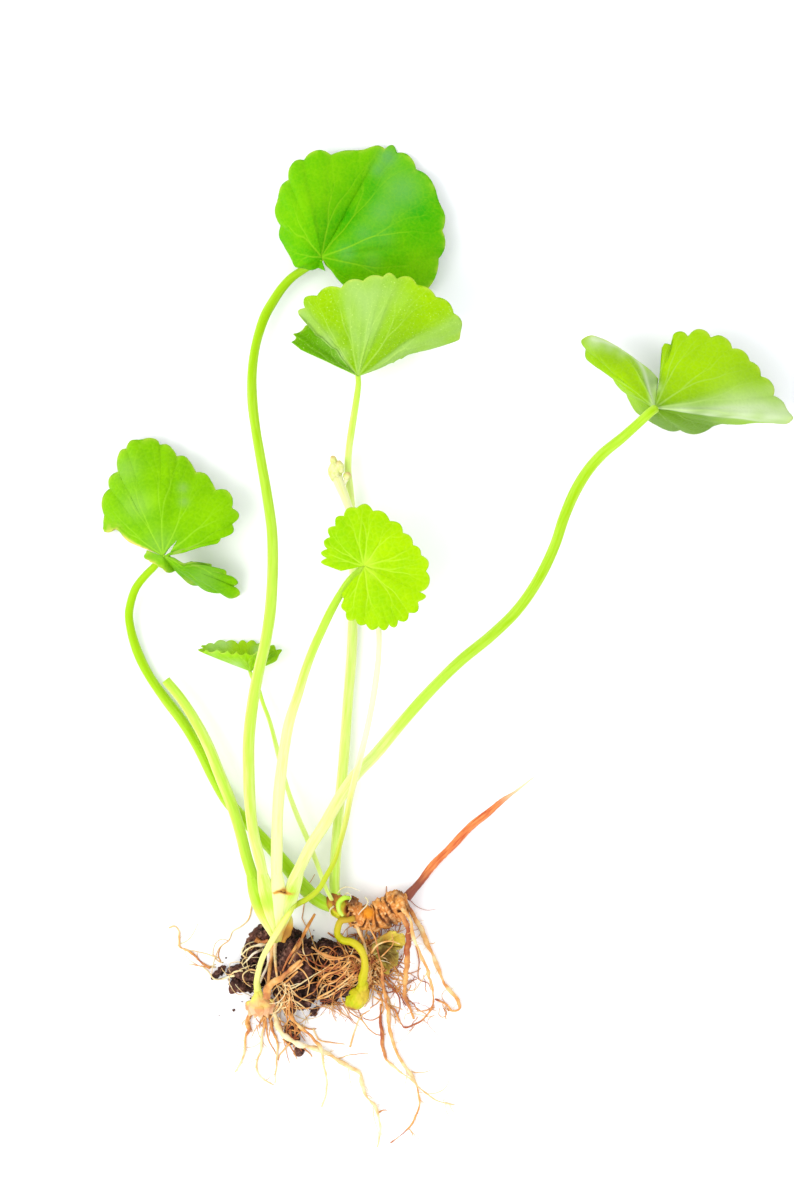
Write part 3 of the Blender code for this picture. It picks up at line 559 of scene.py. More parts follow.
scar *= np.exp(-(((crown[0][:, 0] - SCAR_MIDDLE) / 2.2) ** 4)) * (grain(crown[0], 0.6, 3) > -0.1)
earthy = 0.8 * near(crown[0], (286, 932, 10.5), 1.5) + 0.35 * near(crown[0], (261, 912, 10.5), 1.3)
crown[2]["rust"] += 1.7 * scar + earthy + 1.5 * near(crown[0], (284, 890, 11.5), 0.5)
crown[2]["pale"] -= 0.5 * near(crown[0], (265, 902, 11.0), 1.9)
crown[2]["pale"] -= 0.4 * near(crown[0], (291, 893, 11.0), 1.6)
make("crown_sheaths", crown, petiole_skin, "crown", "main_crown")


# Side crown: the shoot at the rhizome's end, wrapped in brown fibrous leaf bases that have dried,
# with a few whitish threads curling off it.
BROWN_SHEATHS = [
    [(333, 893, 4.4), (335, 900, 4.6), (339, 908, 4.6), (345, 915, 4.2)],
    [(337, 895, 4.0), (339, 902, 4.6), (342, 909, 4.6), (346, 916, 4.0)],
    [(329, 896, 4.4), (333, 903, 4.8), (338, 910, 4.6), (344, 917, 4.0)],
]
THREADS = [
    [(338, 893, 6.6), (341, 889, 6.9), (346, 887, 7.0), (353, 888, 6.8), (360, 891, 6.0)],
    [(365, 897, 6.8), (368, 901, 7.0), (366, 906, 7.1), (362, 910, 7.0), (358, 915, 6.8)],
    [(334, 906, 6.8), (330, 910, 6.4), (331, 915, 6.0), (336, 918, 5.8)],
    [(343, 897, 6.9), (348, 893, 7.2), (351, 897, 7.2), (349, 902, 7.0)],
]
dry_skin = stalk_finish("dry_brown_sheath", "#a8b010", "#c8c82c", "#dccc58", rust="#ac6c28")
# With lit at -0.3 the sheaths are painted darker at their sides, as shade
brown_sheaths = [
    stalk(route, (1.2, 2.6, 3.0, 2.8, 1.4), (0.9, 0.2, 0.5, 0.9), step=0.15, lit=-0.3, seed=50 + i,
          rib=(11, 0.06), rough=((1.2, 0.14), (0.4, 0.08)), rusts=(1.4, 0.6, 0.1, 0.0, 0.3))
    for i, route in enumerate(BROWN_SHEATHS)
]
side = join(*brown_sheaths)
side[2]["rust"] += np.clip(3 * grain(side[0] * (1, 0.5, 1), 0.9, 6) - 0.9, 0, 1.2)
side[2]["rust"] += 1.3 * near(side[0], (349, 911, 5.0), 1.1)
side[2]["rust"] += 0.9 * near(side[0], (333, 899, 6.0), 0.8)
make("side_sheaths", side, dry_skin, "sheath", "side_crown")
thread_skin = stalk_finish("dry_thread", "#c0b080", "#d0c4a0", "#dcd4bc")
threads = [
    stalk(route, (0.3, 0.28, 0.22, 0.12), (0.3, 0.9), sides=8, step=0.25, rough=(), seed=60)
    for route in THREADS
]
make("sheath_threads", join(*threads), thread_skin, "sheath")


# Leaf stalks: long, juicy and hollow, faintly ribbed, green near the blade and bleached towards
# the crown. One was snapped off below its blade. They spring from the crowns as sheaths.
PETIOLES = {
    "petiole_left": (
        [(163, 557, 9.2), (160, 560, 8.4), (154, 567, 7.2), (146, 575, 6.2), (136, 588, 5.0),
         (131, 602, 3.6), (129, 615, 2.5), (131, 630, 1.9), (137, 650, 1.4), (149, 675, 1.3),
         (164, 697, 1.3), (183, 722, 1.3), (200, 750, 1.3), (213, 776, 1.4), (227, 800, 1.6),
         (245, 820, 1.9), (262, 838, 2.2), (276, 853, 2.4), (290, 870, 2.6), (303, 886, 3.0),
         (312, 895, 3.3), (322, 902, 3.6), (332, 906, 4.2), (339, 908, 4.4)],
        (1.3, 1.6, 1.8, 1.9, 2.1, 2.2, 2.3, 2.4, 2.9, 2.6),
        (-0.15, -0.1, 0.0, 0.1, 0.1, 0.1, 0.1, 0.25),
    ),
    "petiole_cupped": (
        [(358, 375, 12.4), (358.5, 382, 11.2), (356.5, 400, 9.0), (352.5, 425, 6.5),
         (349, 450, 4.5), (348, 470, 3.4), (350, 490, 2.6), (353, 540, 1.6), (354, 580, 1.5),
         (353, 620, 1.5), (352, 650, 1.6), (349, 690, 1.8), (346, 730, 2.2), (343, 770, 2.6),
         (340, 800, 3.0), (337, 840, 3.3), (335, 870, 3.6), (335, 891, 4.0), (337, 903, 4.4)],
        (1.1, 1.4, 1.6, 1.8, 2.0, 2.1, 2.1, 2.1),
        (0.2, 0.7, 0.85, 0.75, 0.65, 0.7, 0.5),
    ),
    "petiole_small": (
        [(250, 671, 3.8), (252, 677, 3.2), (255, 683, 2.6), (259, 690, 2.4), (262, 700, 2.4),
         (270, 722, 2.4), (276, 745, 2.6), (282, 768, 2.8), (289, 793, 3.2), (297, 815, 3.8),
         (307, 838, 4.6), (315, 858, 5.4), (320, 872, 6.2), (326, 888, 6.6), (333, 902, 5.4)],
        (0.8, 0.9, 0.9, 1.0, 1.0, 0.9),
        (0.4, 0.7, 0.8, 0.7),
    ),
    "petiole_broken": (
        [(166, 680, 3.7), (180, 697, 3.9), (195, 720, 4.1), (208, 745, 4.3), (220, 775, 4.8),
         (232, 805, 5.4), (240, 830, 6.2), (247, 858, 7.6), (254, 880, 9.0), (261, 900, 10.3),
         (267, 914, 10.8)],
        (1.8, 2.0, 2.2, 2.3, 2.3, 2.3, 2.2),
        (0.35, 0.5, 0.55, 0.5, 0.35, 0.25, 0.3),
    ),
    "petiole_top": (
        [(321, 257, 9.2), (318, 260, 7.8), (311, 265, 6.2), (303, 270, 5.2), (291, 278.5, 4.4),
         (281.5, 289, 4.0), (273.5, 301, 3.8), (265.5, 315, 3.8), (260, 330, 4.0), (256, 345, 4.2),
         (252.5, 370, 4.6), (252.5, 400, 5.2), (256, 430, 6.0), (262, 465, 7.2), (268, 500, 8.4),
         (272, 530, 9.4), (273, 560, 10.4), (272, 590, 11.2), (270, 615, 11.8), (265, 645, 12.2),
         (258, 675, 12.2), (252, 710, 12.0), (249, 740, 11.8), (249, 770, 11.6), (250, 800, 11.4),
         (254, 835, 11.2), (260, 860, 11.0), (264, 878, 10.9), (269, 900, 11.2), (273, 914, 11.2)],
        (1.5, 1.9, 1.9, 2.0, 2.1, 2.15, 2.3, 2.3, 2.1, 2.0),
        (0.0, 0.0, 0.1, 0.2, 0.35, 0.45, 0.5, 0.6, 0.8),
    ),
    "petiole_middle": (
        [(365, 567, 14.4), (362, 569, 13.6), (350, 580, 13.0), (340, 595, 12.8), (330, 613, 12.6),
         (322, 630, 12.5), (313, 650, 12.4), (305, 672, 12.2), (298, 695, 12.0), (290, 720, 11.9),
         (285, 745, 11.8), (281, 775, 11.6), (278, 810, 11.4), (277, 850, 11.0), (277, 882, 11.0),
         (278, 908, 11.3)],
        (1.3, 1.65, 1.85, 2.0, 2.2, 2.3, 2.2),
        (0.2, 0.3, 0.6, 0.9, 1.0, 1.05, 1.0),
    ),
    "petiole_right": (
        [(655, 409, 21.4), (652, 411, 22.0), (641, 421, 20.6), (622, 438, 17.6), (602, 454.5, 14.8),
         (589.5, 468.5, 13.0), (576, 490, 11.0), (565, 515, 9.4), (555, 545, 8.0), (541, 575, 7.0),
         (517, 610.5, 6.2), (491.5, 635.5, 5.8), (461, 660.5, 5.6), (431, 690, 5.6), (400, 725, 5.8),
         (375, 755, 6.2), (355, 776, 6.8), (340, 798, 7.4), (325, 824, 8.2), (310, 848, 9.2),
         (300, 868, 10.0), (293, 882, 10.6), (288, 898, 10.9), (284, 910, 11.0)],
        (1.8, 2.1, 2.15, 2.15, 2.2, 2.2, 2.3, 2.3, 2.2),
        (0.1, 0.1, 0.1, 0.15, 0.2, 0.4, 0.85, 0.9, 0.75),
    ),
}
for seed, (node, (route, widths, pales)) in enumerate(PETIOLES.items()):
    form = stalk(route, widths, pales, seed=70 + seed)
    form[2]["rust"] += 0.7 * near(form[0], (333, 904, 5.0), 0.9)
    make(node.replace("petiole", "leaf_stalk"), form, petiole_skin, "petiole", node)


# Leaf blades: thin kidney-shaped fans with scalloped edges, bright green above and paler below.
# Nine or so veins run out from the stalk, fork twice, and are joined by a fine net of veins.
SHEET_HALF = 0.13
LOWEST_SHEET = 0.2
HUB_SHARE = 0.004


def leaf_finish(name, deep, bright, sheen, vein, under, roughness=0.45, lines=0.45, dots=0.0,
                mottled=1.0):
    """Leaf skin: mottled between a deep and a bright green, which also stand for the blade in shade
    and in light as the shade mark paints them; silvery where the sheen mark paints a reflection of
    the light, in part the paler underside; with veins, a net of finer ones in cells of about 1.2 mm,
    bright dots, a pale rim that is a painted highlight, and yellow-brown where torn."""
    finish, tree, shader = new_finish(name, roughness, 0.03)
    flat = add(tree, "ShaderNodeAttribute", {}, "Vector", attribute_name="flat")
    shade = add(tree, "ShaderNodeAttribute", {}, "Fac", attribute_name="shade")
    for size, detail, depth in ((5.0, 5.0, 0.25 * mottled), (0.6, 3.0, 0.16 * mottled)):
        mottle = {"Vector": flat, "Scale": PER_MM / size, "Detail": detail}
        mottle = add(tree, "ShaderNodeTexNoise", mottle)
        ends = {"From Min": 0.3, "From Max": 0.7, "To Min": -depth, "To Max": depth}
        mottle = add(tree, "ShaderNodeMapRange", {"Value": mottle, **ends})
        shade = add(tree, "ShaderNodeMath", {0: shade, 1: mottle})
    # The shade mark paints light and shade: it moves the colour between the deep and the bright green
    colour = coat(tree, deep, shade, bright)
    colour = coat(tree, colour, "under", under)
    # The sheen mark paints a silvery reflection of the light, in part the paler underside
    colour = coat(tree, colour, "sheen", sheen)
    if dots:
        specks = {"Vector": flat, "Scale": PER_MM / 0.45, "Detail": 1.0}
        specks = add(tree, "ShaderNodeTexNoise", specks)
        colour = coat(tree, colour, specks, vein, 0.66, 0.72, high=dots)
    warp = add(tree, "ShaderNodeTexNoise", {"Vector": flat, "Scale": 0.7 * PER_MM}, 1)
    shift = {0: warp, 1: (0.7 * MM, 0.7 * MM, 0.7 * MM)}
    shift = add(tree, "ShaderNodeVectorMath", shift, operation="MULTIPLY")
    bent = add(tree, "ShaderNodeVectorMath", {0: flat, 1: shift})
    cells = add(
        tree, "ShaderNodeTexVoronoi", {"Vector": bent, "Scale": PER_MM / 1.2},
        feature="DISTANCE_TO_EDGE", voronoi_dimensions="2D",
    )
    colour = coat(tree, colour, cells, vein, 0.0, 0.13, 0.2 * lines, 0.0)
    colour = coat(tree, colour, "vein", vein, 0.1, 0.9, high=lines)
    # The rim mark paints a pale highlight along the edge
    colour = coat(tree, colour, "rim", "#c0d448")
    colour = coat(tree, colour, "torn", "#dcc868")
    pits = add(tree, "ShaderNodeTexNoise", {"Vector": flat, "Scale": PER_MM / 0.5, "Detail": 3.0})
    puckers = add(tree, "ShaderNodeMath", {0: pits, 1: cells})
    dress(tree, shader, colour, puckers, 0.18, 0.5)
    return finish


def veins(angle, reach, out, mains):
    """Strength of the nearest vein, 0 to 1: a bell over how far a point is from it round the hub.

    Each main vein runs out in a wave. At about 0.36 of the way it parts in two, by 0.27 of the gap
    to the next main vein, and at about 0.66 either of them parts in two again, by 0.13. A vein is
    narrower the further out it is, and weaker after each parting.
    """
    strength = np.zeros(reach.shape)
    for number, (main, gap) in enumerate(zip(mains, np.gradient(mains))):
        fork = 0.36 + 0.1 * np.sin(5 * number)
        first = np.clip((out - fork) / (1 - fork), 0, 1) ** 0.75
        wave = 0.14 * np.sin(5 * out + 2.3 * number) * out + 0.02 * np.sin(19 * out + number)
        for branch in (-1, 1):
            again = 0.66 + 0.08 * np.sin(3 * number + branch)
            second = np.clip((out - again) / (1 - again), 0, 1) ** 0.75
            apart = 0.27 * branch * first * (1 + 0.35 * np.sin(7 * number + branch))
            for twig in (-1, 1):
                path = main + gap * (wave + apart + 0.13 * twig * second)
                away = np.abs(angle[None] - path[:, None]) * reach
                weaker = 1 - 0.25 * (out > fork) - 0.3 * (out > again)
                bell = np.exp(-((away / (0.21 - 0.14 * out)[:, None]) ** 2)) * weaker[:, None]
                strength = np.maximum(strength, bell)
    return strength


def patch(spots, places):
    """A soft sum of bells over (column, row, reach, amount) places of the picture."""
    total = np.zeros(spots.shape[:-1])
    for column, row, reach, amount in places:
        away = np.hypot(spots[..., 0] - column, spots[..., 1] - row) / reach
        total += amount * np.exp(-(away**2))
    return total


def leaf(hub, rim, lifts, tips, columns=380, rows=46, pleat=0.14, groove=0.06, face=1,
         shades=(), sheens=(), torn=(), sectors=(), creases=(), slit=(), dents=(), rumple=0.12):
    """A blade: ribs run from the hub to the rim, and a parabola of the rib's own lift bows them up.
    The rim is a smooth curve of round teeth, with a corner where it turns inwards.

    Between main veins the blade swells by a pleat that grows outwards, and at a vein it sinks into
    a groove; on a leaf that shows its underside (face -1) both are turned over. A crease sinks the
    rib to a place of the rim by a depth, in a bell of a width in radians. Shades are bells of
    painted light and shade, and sheens bells of painted sheen and highlight. A sector between the
    ribs to two places gets an amount of that sheen, painted reflection and in part the paler
    underside. Where it was torn, grain bites into the rim, and at a slit, a line in the picture,
    the ribs that cross it only start. A dent moves the blade down the picture by its rows, in a
    bell of a reach round a place. The sheet then gets SHEET_HALF on either side, less at the rim.
    flat is the cone of ribs laid flat, in polar form.
    """
    steps = np.diff(np.array(rim)[:, :2], axis=0)
    steps /= np.linalg.norm(steps, axis=1, keepdims=True)
    inwards = steps[:-1, 0] * steps[1:, 1] - steps[:-1, 1] * steps[1:, 0] < -0.25
    edge, share = smooth(rim, columns, np.concatenate(([False], inwards, [False])))
    hub = np.array(hub, float)
    bites = abs(0.14 * grain(edge, 5.0) + 0.1 * grain(edge, 2.2, 1))
    bites *= np.clip(patch(edge, torn), 0, 1)
    edge = hub + (edge - hub) * (1 - bites[:, None])
    way_out = np.linspace(HUB_SHARE, 1, rows)
    out = np.repeat(way_out[:, None], columns, axis=1)
    for first, last in slit:
        ray = edge[:, :2] - hub[:2]
        line, way = np.subtract(first, hub[:2]), np.subtract(last, first)
        across = ray[:, 0] * way[1] - ray[:, 1] * way[0]
        reached = (line[0] * way[1] - line[1] * way[0]) / across
        along = (line[0] * ray[:, 1] - line[1] * ray[:, 0]) / across
        crossed = (along > 0) & (along < 1) & (reached > 0)
        start = np.convolve(np.where(crossed, reached, 0.0), np.full(11, 1 / 11), mode="same")
        out = start + (1 - start) * out
    spots = hub + (edge - hub) * out[..., None]
    spots[..., 2] += spread(lifts, share) * 4 * out * (1 - out)
    spots[..., 1] += patch(spots, dents) * (1 + 0.3 * grain(spots, 3.0))
    sheet = place(spots)
    ribs = place(edge) - place(hub[None])
    lengths = np.linalg.norm(ribs, axis=1)
    ways = ribs / lengths[:, None]
    bends = np.arccos(np.clip((ways[1:] * ways[:-1]).sum(axis=1), -1, 1))
    angle = np.concatenate(([0.0], np.cumsum(bends)))
    reach = lengths * out

    def rib_to(spot):
        return angle[np.argmin(np.hypot(*(edge[:, :2] - spot).T))]

    mains = np.sort([rib_to(tip) for tip in tips])
    strength = veins(angle, reach, way_out, mains)
    between_mains = np.interp(angle, mains, np.arange(len(mains))) % 1
    flat = np.dstack((reach * np.cos(angle), reach * np.sin(angle), np.zeros(reach.shape)))
    swell = pleat * np.sin(np.pi * between_mains) ** 2 * out**0.8
    relief = face * (swell - groove * strength**0.5) + rumple * grain(flat, 3.5, columns)
    relief += 2 * rumple * grain(flat, 8.0, rows) * out
    for spot, depth, width in creases:
        bell = np.exp(-(((angle - rib_to(spot)) / width) ** 2))
        relief -= depth * bell * np.sin(np.pi * out) ** 2
    # Sectors add a painted silvery sheen, in part the paler underside
    silver_and_sheen = np.zeros(columns)
    for first, last, amount in sectors:
        start, stop = sorted((rib_to(first), rib_to(last)))
        inside = 1 / (1 + np.exp((start - angle) / 0.03)) / (1 + np.exp((angle - stop) / 0.03))
        silver_and_sheen += amount * inside
    streaks = np.dstack((np.broadcast_to(angle * 12, reach.shape), reach / 5, 0 * reach))
    silver_and_sheen = silver_and_sheen * (0.85 + 0.3 * grain(flat, 3.0, 5) + 0.3 * grain(streaks, 1.0, 6))
    normal = np.cross(np.gradient(sheet, axis=1), np.gradient(sheet, axis=0))
    normal /= np.linalg.norm(normal, axis=-1, keepdims=True)
    sheet += normal * relief[..., None]
    half = (SHEET_HALF * (1 - 0.6 * out**8))[..., None] * normal
    ragged = np.maximum(out**6, np.exp(-((angle / 0.05) ** 2)))
    sheet[..., 2] = np.maximum(sheet[..., 2], LOWEST_SHEET)
    index = np.arange(rows * columns).reshape(rows, columns)
    quads = np.stack((index[:-1, :-1], index[:-1, 1:], index[1:, 1:], index[1:, :-1]), axis=-1)
    quads = quads.reshape(-1, 4)
    rim_loop = np.concatenate((index[0, :-1], index[:-1, -1], index[-1, :0:-1], index[:0:-1, 0]))
    ahead = np.roll(rim_loop, -1)
    below = rows * columns
    sides = np.stack((ahead, rim_loop, rim_loop + below, ahead + below), axis=-1)
    faces = [*quads.tolist(), *(quads[:, ::-1] + below).tolist(), *sides.tolist()]
    both = {
        "vein": strength,
        # Painted light and shade in the shade mark, painted sheen in the sheen mark, a painted
        # highlight in the rim mark
        "shade": 0.5 + patch(spots, shades) + 0.3 * (out - 0.5),
        "sheen": np.clip(patch(spots, sheens) + silver_and_sheen, 0, 1),
        "torn": np.clip(patch(spots, torn) * ragged * (1 + grain(flat, 0.8, 8)), 0, 1),
        "rim": 0.6 * out**60 * np.clip(0.5 + grain(flat, 1.2, 9), 0, 1),
    }
    marks = {name: np.tile(values.ravel(), 2) for name, values in both.items()}
    marks["under"] = np.repeat((0.0, 1.0), rows * columns)
    marks["flat"] = np.tile(flat.reshape(-1, 3), (2, 1)) * MM
    points = np.concatenate(((sheet + half).reshape(-1, 3), (sheet - half).reshape(-1, 3)))
    return points, faces, marks


TOP_RIM = [
    (325, 271, 8.6), (318, 268, 8.2), (312, 270, 8.0), (303, 268, 8.2), (296, 267, 8.0),
    (291, 258, 7.2), (283, 244, 6.4), (279, 238, 6.0), (280, 226, 5.8), (275, 210, 5.2),
    (278, 200, 5.0), (283, 184, 5.0), (289, 180, 5.0), (291, 166, 5.0), (297, 160, 5.0),
    (304, 160, 5.0), (310, 153, 4.8), (320, 150, 4.8), (331, 155, 4.6), (342, 151, 4.2),
    (362, 150, 3.0), (380, 146, 1.8), (385, 149, 1.4), (392, 145, 0.8), (397, 153, 0.6),
    (404, 153, 0.9), (411, 158, 1.6), (416, 170, 2.6), (427, 176, 3.2), (434, 187, 3.8),
    (438, 200, 4.2), (445, 218, 4.8), (442, 231, 5.0), (445, 243, 4.8), (438, 258, 4.2),
    (437, 270, 3.4), (430, 285, 2.2), (414, 295, 1.2), (393, 299, 0.8), (370, 295, 1.4),
    (352, 290, 3.4), (341, 283, 5.2), (335, 275, 6.6), (327, 266, 8.4),
]
top_leaf = leaf(
    (321, 257, 9.5), TOP_RIM,
    (0.0, 1.0, 2.2, 2.6, 2.4, 1.0, -0.8, 0.8, 1.6, 1.8, 1.4, 1.0, 0.0),
    tips=[(291, 258), (278, 200), (343, 151), (400, 153), (444, 214), (433, 280), (345, 286)],
    columns=460, rows=52,
    # The shades paint shade along the fold and light on slopes that face the light; the sheens paint
    # a bluish reflection
    shades=[(348, 218, 11, -0.4), (371, 187, 11, -0.6), (386, 160, 12, 0.4), (424, 215, 26, -0.4),
            (295, 205, 36, 0.35), (335, 175, 26, 0.25), (365, 275, 20, 0.4), (415, 275, 20, 0.5)],
    sheens=[(402, 190, 18, 0.75), (381, 213, 13, 0.6), (364, 234, 10, 0.5), (388, 157, 9, 1.1),
            (378, 170, 7, 0.7), (347, 253, 9, 0.6), (372, 260, 9, 0.3), (384, 238, 10, 0.3)],
    creases=[((404, 153), 0.45, 0.13), ((445, 243), 0.5, 0.08)],
)
leaf_skin = leaf_finish(
    "leaf_skin_deep", "#349c00", "#6eb400", "#60a448", "#8cc21c", "#7cae34", lines=0.6
)
make("blade_top", top_leaf, leaf_skin, "leaf", "leaf_top")

CUPPED_RIM = [
    (305, 320, 22.0), (298, 311, 22.4), (305, 308, 22.6), (304, 299, 23.0), (317, 296, 23.4),
    (323, 289, 23.8), (341, 288, 24.4), (350, 280, 25.0), (363, 281, 25.2), (370, 276, 25.5),
    (383, 277, 25.6), (388, 273, 25.8), (397, 279, 25.8), (410, 277, 25.6), (417, 285, 25.4),
    (431, 290, 24.6), (436, 297, 23.8), (449, 303, 22.2), (454, 314, 20.2), (462, 322, 18.0),
    (461, 332, 15.0), (459, 340, 12.0), (450, 340, 8.6), (432, 334, 5.4), (410, 325, 3.0),
    (388, 317, 1.4), (365, 313, 0.7), (342, 313, 0.6), (322, 318, 0.8), (305, 326, 1.2),
    (300, 332, 1.4), (293, 334, 1.6), (296, 338, 1.9), (291, 342, 2.3), (301, 350, 4.0),
]
cupped_leaf = leaf(
    (358, 376, 12.5), CUPPED_RIM,
    (1.4, 1.8, 2.4, 2.6, 2.0, 0.5, -1.0, -1.4, -1.0, 0.0),
    tips=[(304, 299), (341, 288), (380, 277), (425, 288), (458, 325), (388, 317),
          (296, 338)],
    columns=460, rows=50, face=-1, pleat=0.16,
    # The shades paint light on the blade, and the sheens and sectors a silvery reflection, in part
    # the paler underside
    shades=[(320, 300, 24, 0.1), (435, 305, 24, 0.3), (305, 337, 14, 0.2)],
    sheens=[(375, 325, 20, 0.15), (362, 300, 18, 0.2), (400, 300, 14, 0.2), (330, 338, 9, 0.4),
            (343, 354, 7, 0.5)],
    dents=[(337, 352, 5, -3), (316, 333, 5, 2), (408, 359, 24, -3.5)],
    sectors=[((305, 320), (305, 308), 0.85), ((340, 288), (402, 278), 0.5),
             ((457, 315), (455, 340), 0.7)],
    creases=[((338, 288), 0.5, 0.06), ((458, 317), 0.5, 0.07)],
)
cupped_skin = leaf_finish(
    "leaf_skin_cupped", "#6ca000", "#90be00", "#98bc64", "#b4d468", "#62a000", roughness=0.5,
    lines=0.35, dots=0.6, mottled=0.7,
)
make("blade_cupped", cupped_leaf, cupped_skin, "leaf_underside", "leaf_cupped")

RIGHT_RIM = [
    (662, 354, 13.6), (665, 343, 11.6), (671, 344, 11.4), (675, 332, 9.8),
    (682, 331, 9.6), (688, 336, 10.2), (698, 329, 9.6), (706, 331, 9.8), (711, 337, 10.4),
    (719, 335, 10.2), (728, 340, 10.6), (732, 349, 11.4), (743, 351, 11.4), (750, 361, 12.0),
    (759, 367, 12.4), (761, 376, 13.0), (769, 380, 13.2), (774, 390, 13.8), (773, 396, 14.2),
    (783, 402, 14.2), (788, 411, 14.2), (793, 418, 13.6), (788, 423, 10.8), (774, 424, 6.6),
    (756, 424, 3.0), (738, 425, 1.2), (722, 424, 0.7), (712, 427, 0.6), (703, 433, 0.5),
    (694, 435, 0.5), (686, 433, 0.6), (680, 430, 1.0), (672, 432, 0.7), (663, 430, 0.9),
    (655, 425, 1.6), (645, 418, 2.8), (636, 412, 3.8), (630, 403, 4.8), (626, 394, 5.6),
    (616, 384, 6.6), (611, 371, 7.6), (600, 369, 8.0), (596, 363, 8.4), (587, 360, 8.8),
    (586, 349, 9.2), (581, 341, 9.6), (590, 335, 9.8), (602, 338, 10.4), (616, 345, 11.2),
    (629, 354, 11.6), (641, 363, 12.4), (651, 371, 13.8), (658, 378, 15.8),
]
# The fold's crest, along which a painted highlight runs
FOLD = [(592, 338), (613, 344), (631, 354), (641, 366), (647, 381), (650, 395), (653, 407)]
right_leaf = leaf(
    (655, 408, 20.6), RIGHT_RIM,
    (0.4, 1.0, 1.6, 2.0, 2.2, 2.6, 3.0, 4.4, 5.4, 5.4, 4.8, 3.0, 2.2, 1.8, 1.0, 0.3),
    tips=[(662, 354), (690, 334), (740, 350), (774, 390), (793, 418), (722, 424), (680, 430),
          (645, 418), (616, 384), (586, 349), (622, 349)],
    columns=500, rows=50, face=-1,
    # The shades paint light and shade on the folds; the sheens a highlight on the crest and a silvery
    # reflection
    shades=[(700, 365, 50, 0.4), (666, 360, 12, 0.4), (700, 428, 26, -0.8), (620, 385, 24, 0.3),
            (660, 425, 20, -0.7), (654, 380, 8, -0.8)],
    sheens=[(735, 402, 22, 0.15), (595, 339, 9, 0.7), (610, 346, 6, 0.4), (623, 352, 6, 0.4),
            (657, 388, 5, 0.4), *[(*spot, 2.0, 0.5) for spot in smooth(FOLD, 40)[0]]],
    sectors=[((784, 404), (772, 424), 0.9), ((771, 384), (784, 404), 0.3),
             ((635, 358), (657, 377), 0.4)],
    creases=[((784, 404), 0.5, 0.06), ((622, 349), -0.5, 0.06)],
)
right_skin = leaf_finish(
    "leaf_skin_right", "#648e18", "#96c400", "#b8cc98", "#b0d070", "#80aa20", roughness=0.5,
    lines=0.3, mottled=0.4,
)
make("blade_right", right_leaf, right_skin, "leaf_underside", "leaf_right")

LEFT_RIM = [
    (101, 531, 0.7), (104, 515, 0.7), (102, 503, 0.6), (105, 494, 0.7), (111, 489, 1.0),
    (111, 477, 1.2), (119, 472, 1.8), (118, 457, 1.8), (122, 450, 2.0), (127, 449, 2.2),
    (131, 441, 2.4), (141, 440, 2.8), (150, 438, 3.0), (157, 440, 3.2), (160, 445, 3.6),
    (167, 444, 3.8), (174, 450, 4.2), (177, 456, 4.6), (184, 456, 4.8), (191, 463, 5.2),
    (196, 472, 5.8), (206, 474, 6.0), (212, 482, 6.4), (216, 490, 7.0), (227, 490, 7.0),
    (232, 496, 7.4), (232, 508, 8.0), (239, 515, 8.2), (232, 524, 8.6), (234, 530, 8.8),
    (221, 536, 9.2), (220, 540, 9.2), (192, 544, 9.6), (182, 548, 9.6), (175, 552, 9.7),
    (169, 555, 9.7), (172, 557, 9.6), (184, 560, 9.2), (200, 563, 8.4), (212, 565, 7.4),
    (211, 570, 7.2), (219, 569, 6.8), (226, 571, 6.2), (226, 576, 5.6), (233, 577, 4.8),
    (238, 583, 4.0), (233, 586, 3.4), (240, 593, 2.2), (230, 598, 0.8), (222, 593, 0.8),
    (208, 592, 0.7), (198, 586, 0.9), (188, 584, 1.4), (183, 577, 2.8), (176, 570, 5.2),
    (168, 573, 7.2), (161, 568, 8.6), (150, 562, 9.0), (144, 557, 9.0), (147, 550, 9.2),
]
left_leaf = leaf(
    (163, 556, 9.8), LEFT_RIM,
    (1.6, 2.4, 2.6, 2.4, 2.0, 1.6, 1.1, 0.7, 1.5, 1.1, 0.3, 0.0),
    tips=[(104, 515), (119, 462), (160, 442), (200, 473), (236, 505), (233, 531),
          (213, 565), (230, 577), (222, 595)],
    columns=460, rows=48, pleat=0.07, groove=0.09, dents=[(118, 537, 8, -7), (184, 560, 9, 4)],
    # The shades paint light and shade on the blade, and the sheens a gloss highlight and a silvery
    # reflection
    shades=[(140, 455, 26, 0.1), (200, 580, 26, -0.5), (205, 515, 26, 0.4), (151, 503, 9, 0.7)],
    sheens=[(128, 470, 12, 0.6), (138, 505, 13, 0.7), (160, 545, 14, 0.5), (205, 575, 14, 0.5),
            (183, 488, 5, 1.0), (184, 502, 5, 0.9)],
    creases=[((160, 445), -0.25, 0.12), ((184, 456), 0.2, 0.12)],
    slit=[((169, 554), (180, 535))],
    torn=[(103, 532, 5, 0.4), (115, 533, 8, 0.9), (128, 540, 8, 0.9), (140, 546, 8, 0.9),
          (150, 549, 6, 0.9), (160, 569, 7, 0.9), (152, 564, 6, 0.7), (186, 581, 7, 0.5)],
)
left_skin = leaf_finish(
    "leaf_skin_left", "#5a9c00", "#80bc00", "#7cac40", "#98cc30", "#84a838", lines=0.5
)
make("blade_left", left_leaf, left_skin, "leaf", "leaf_left")

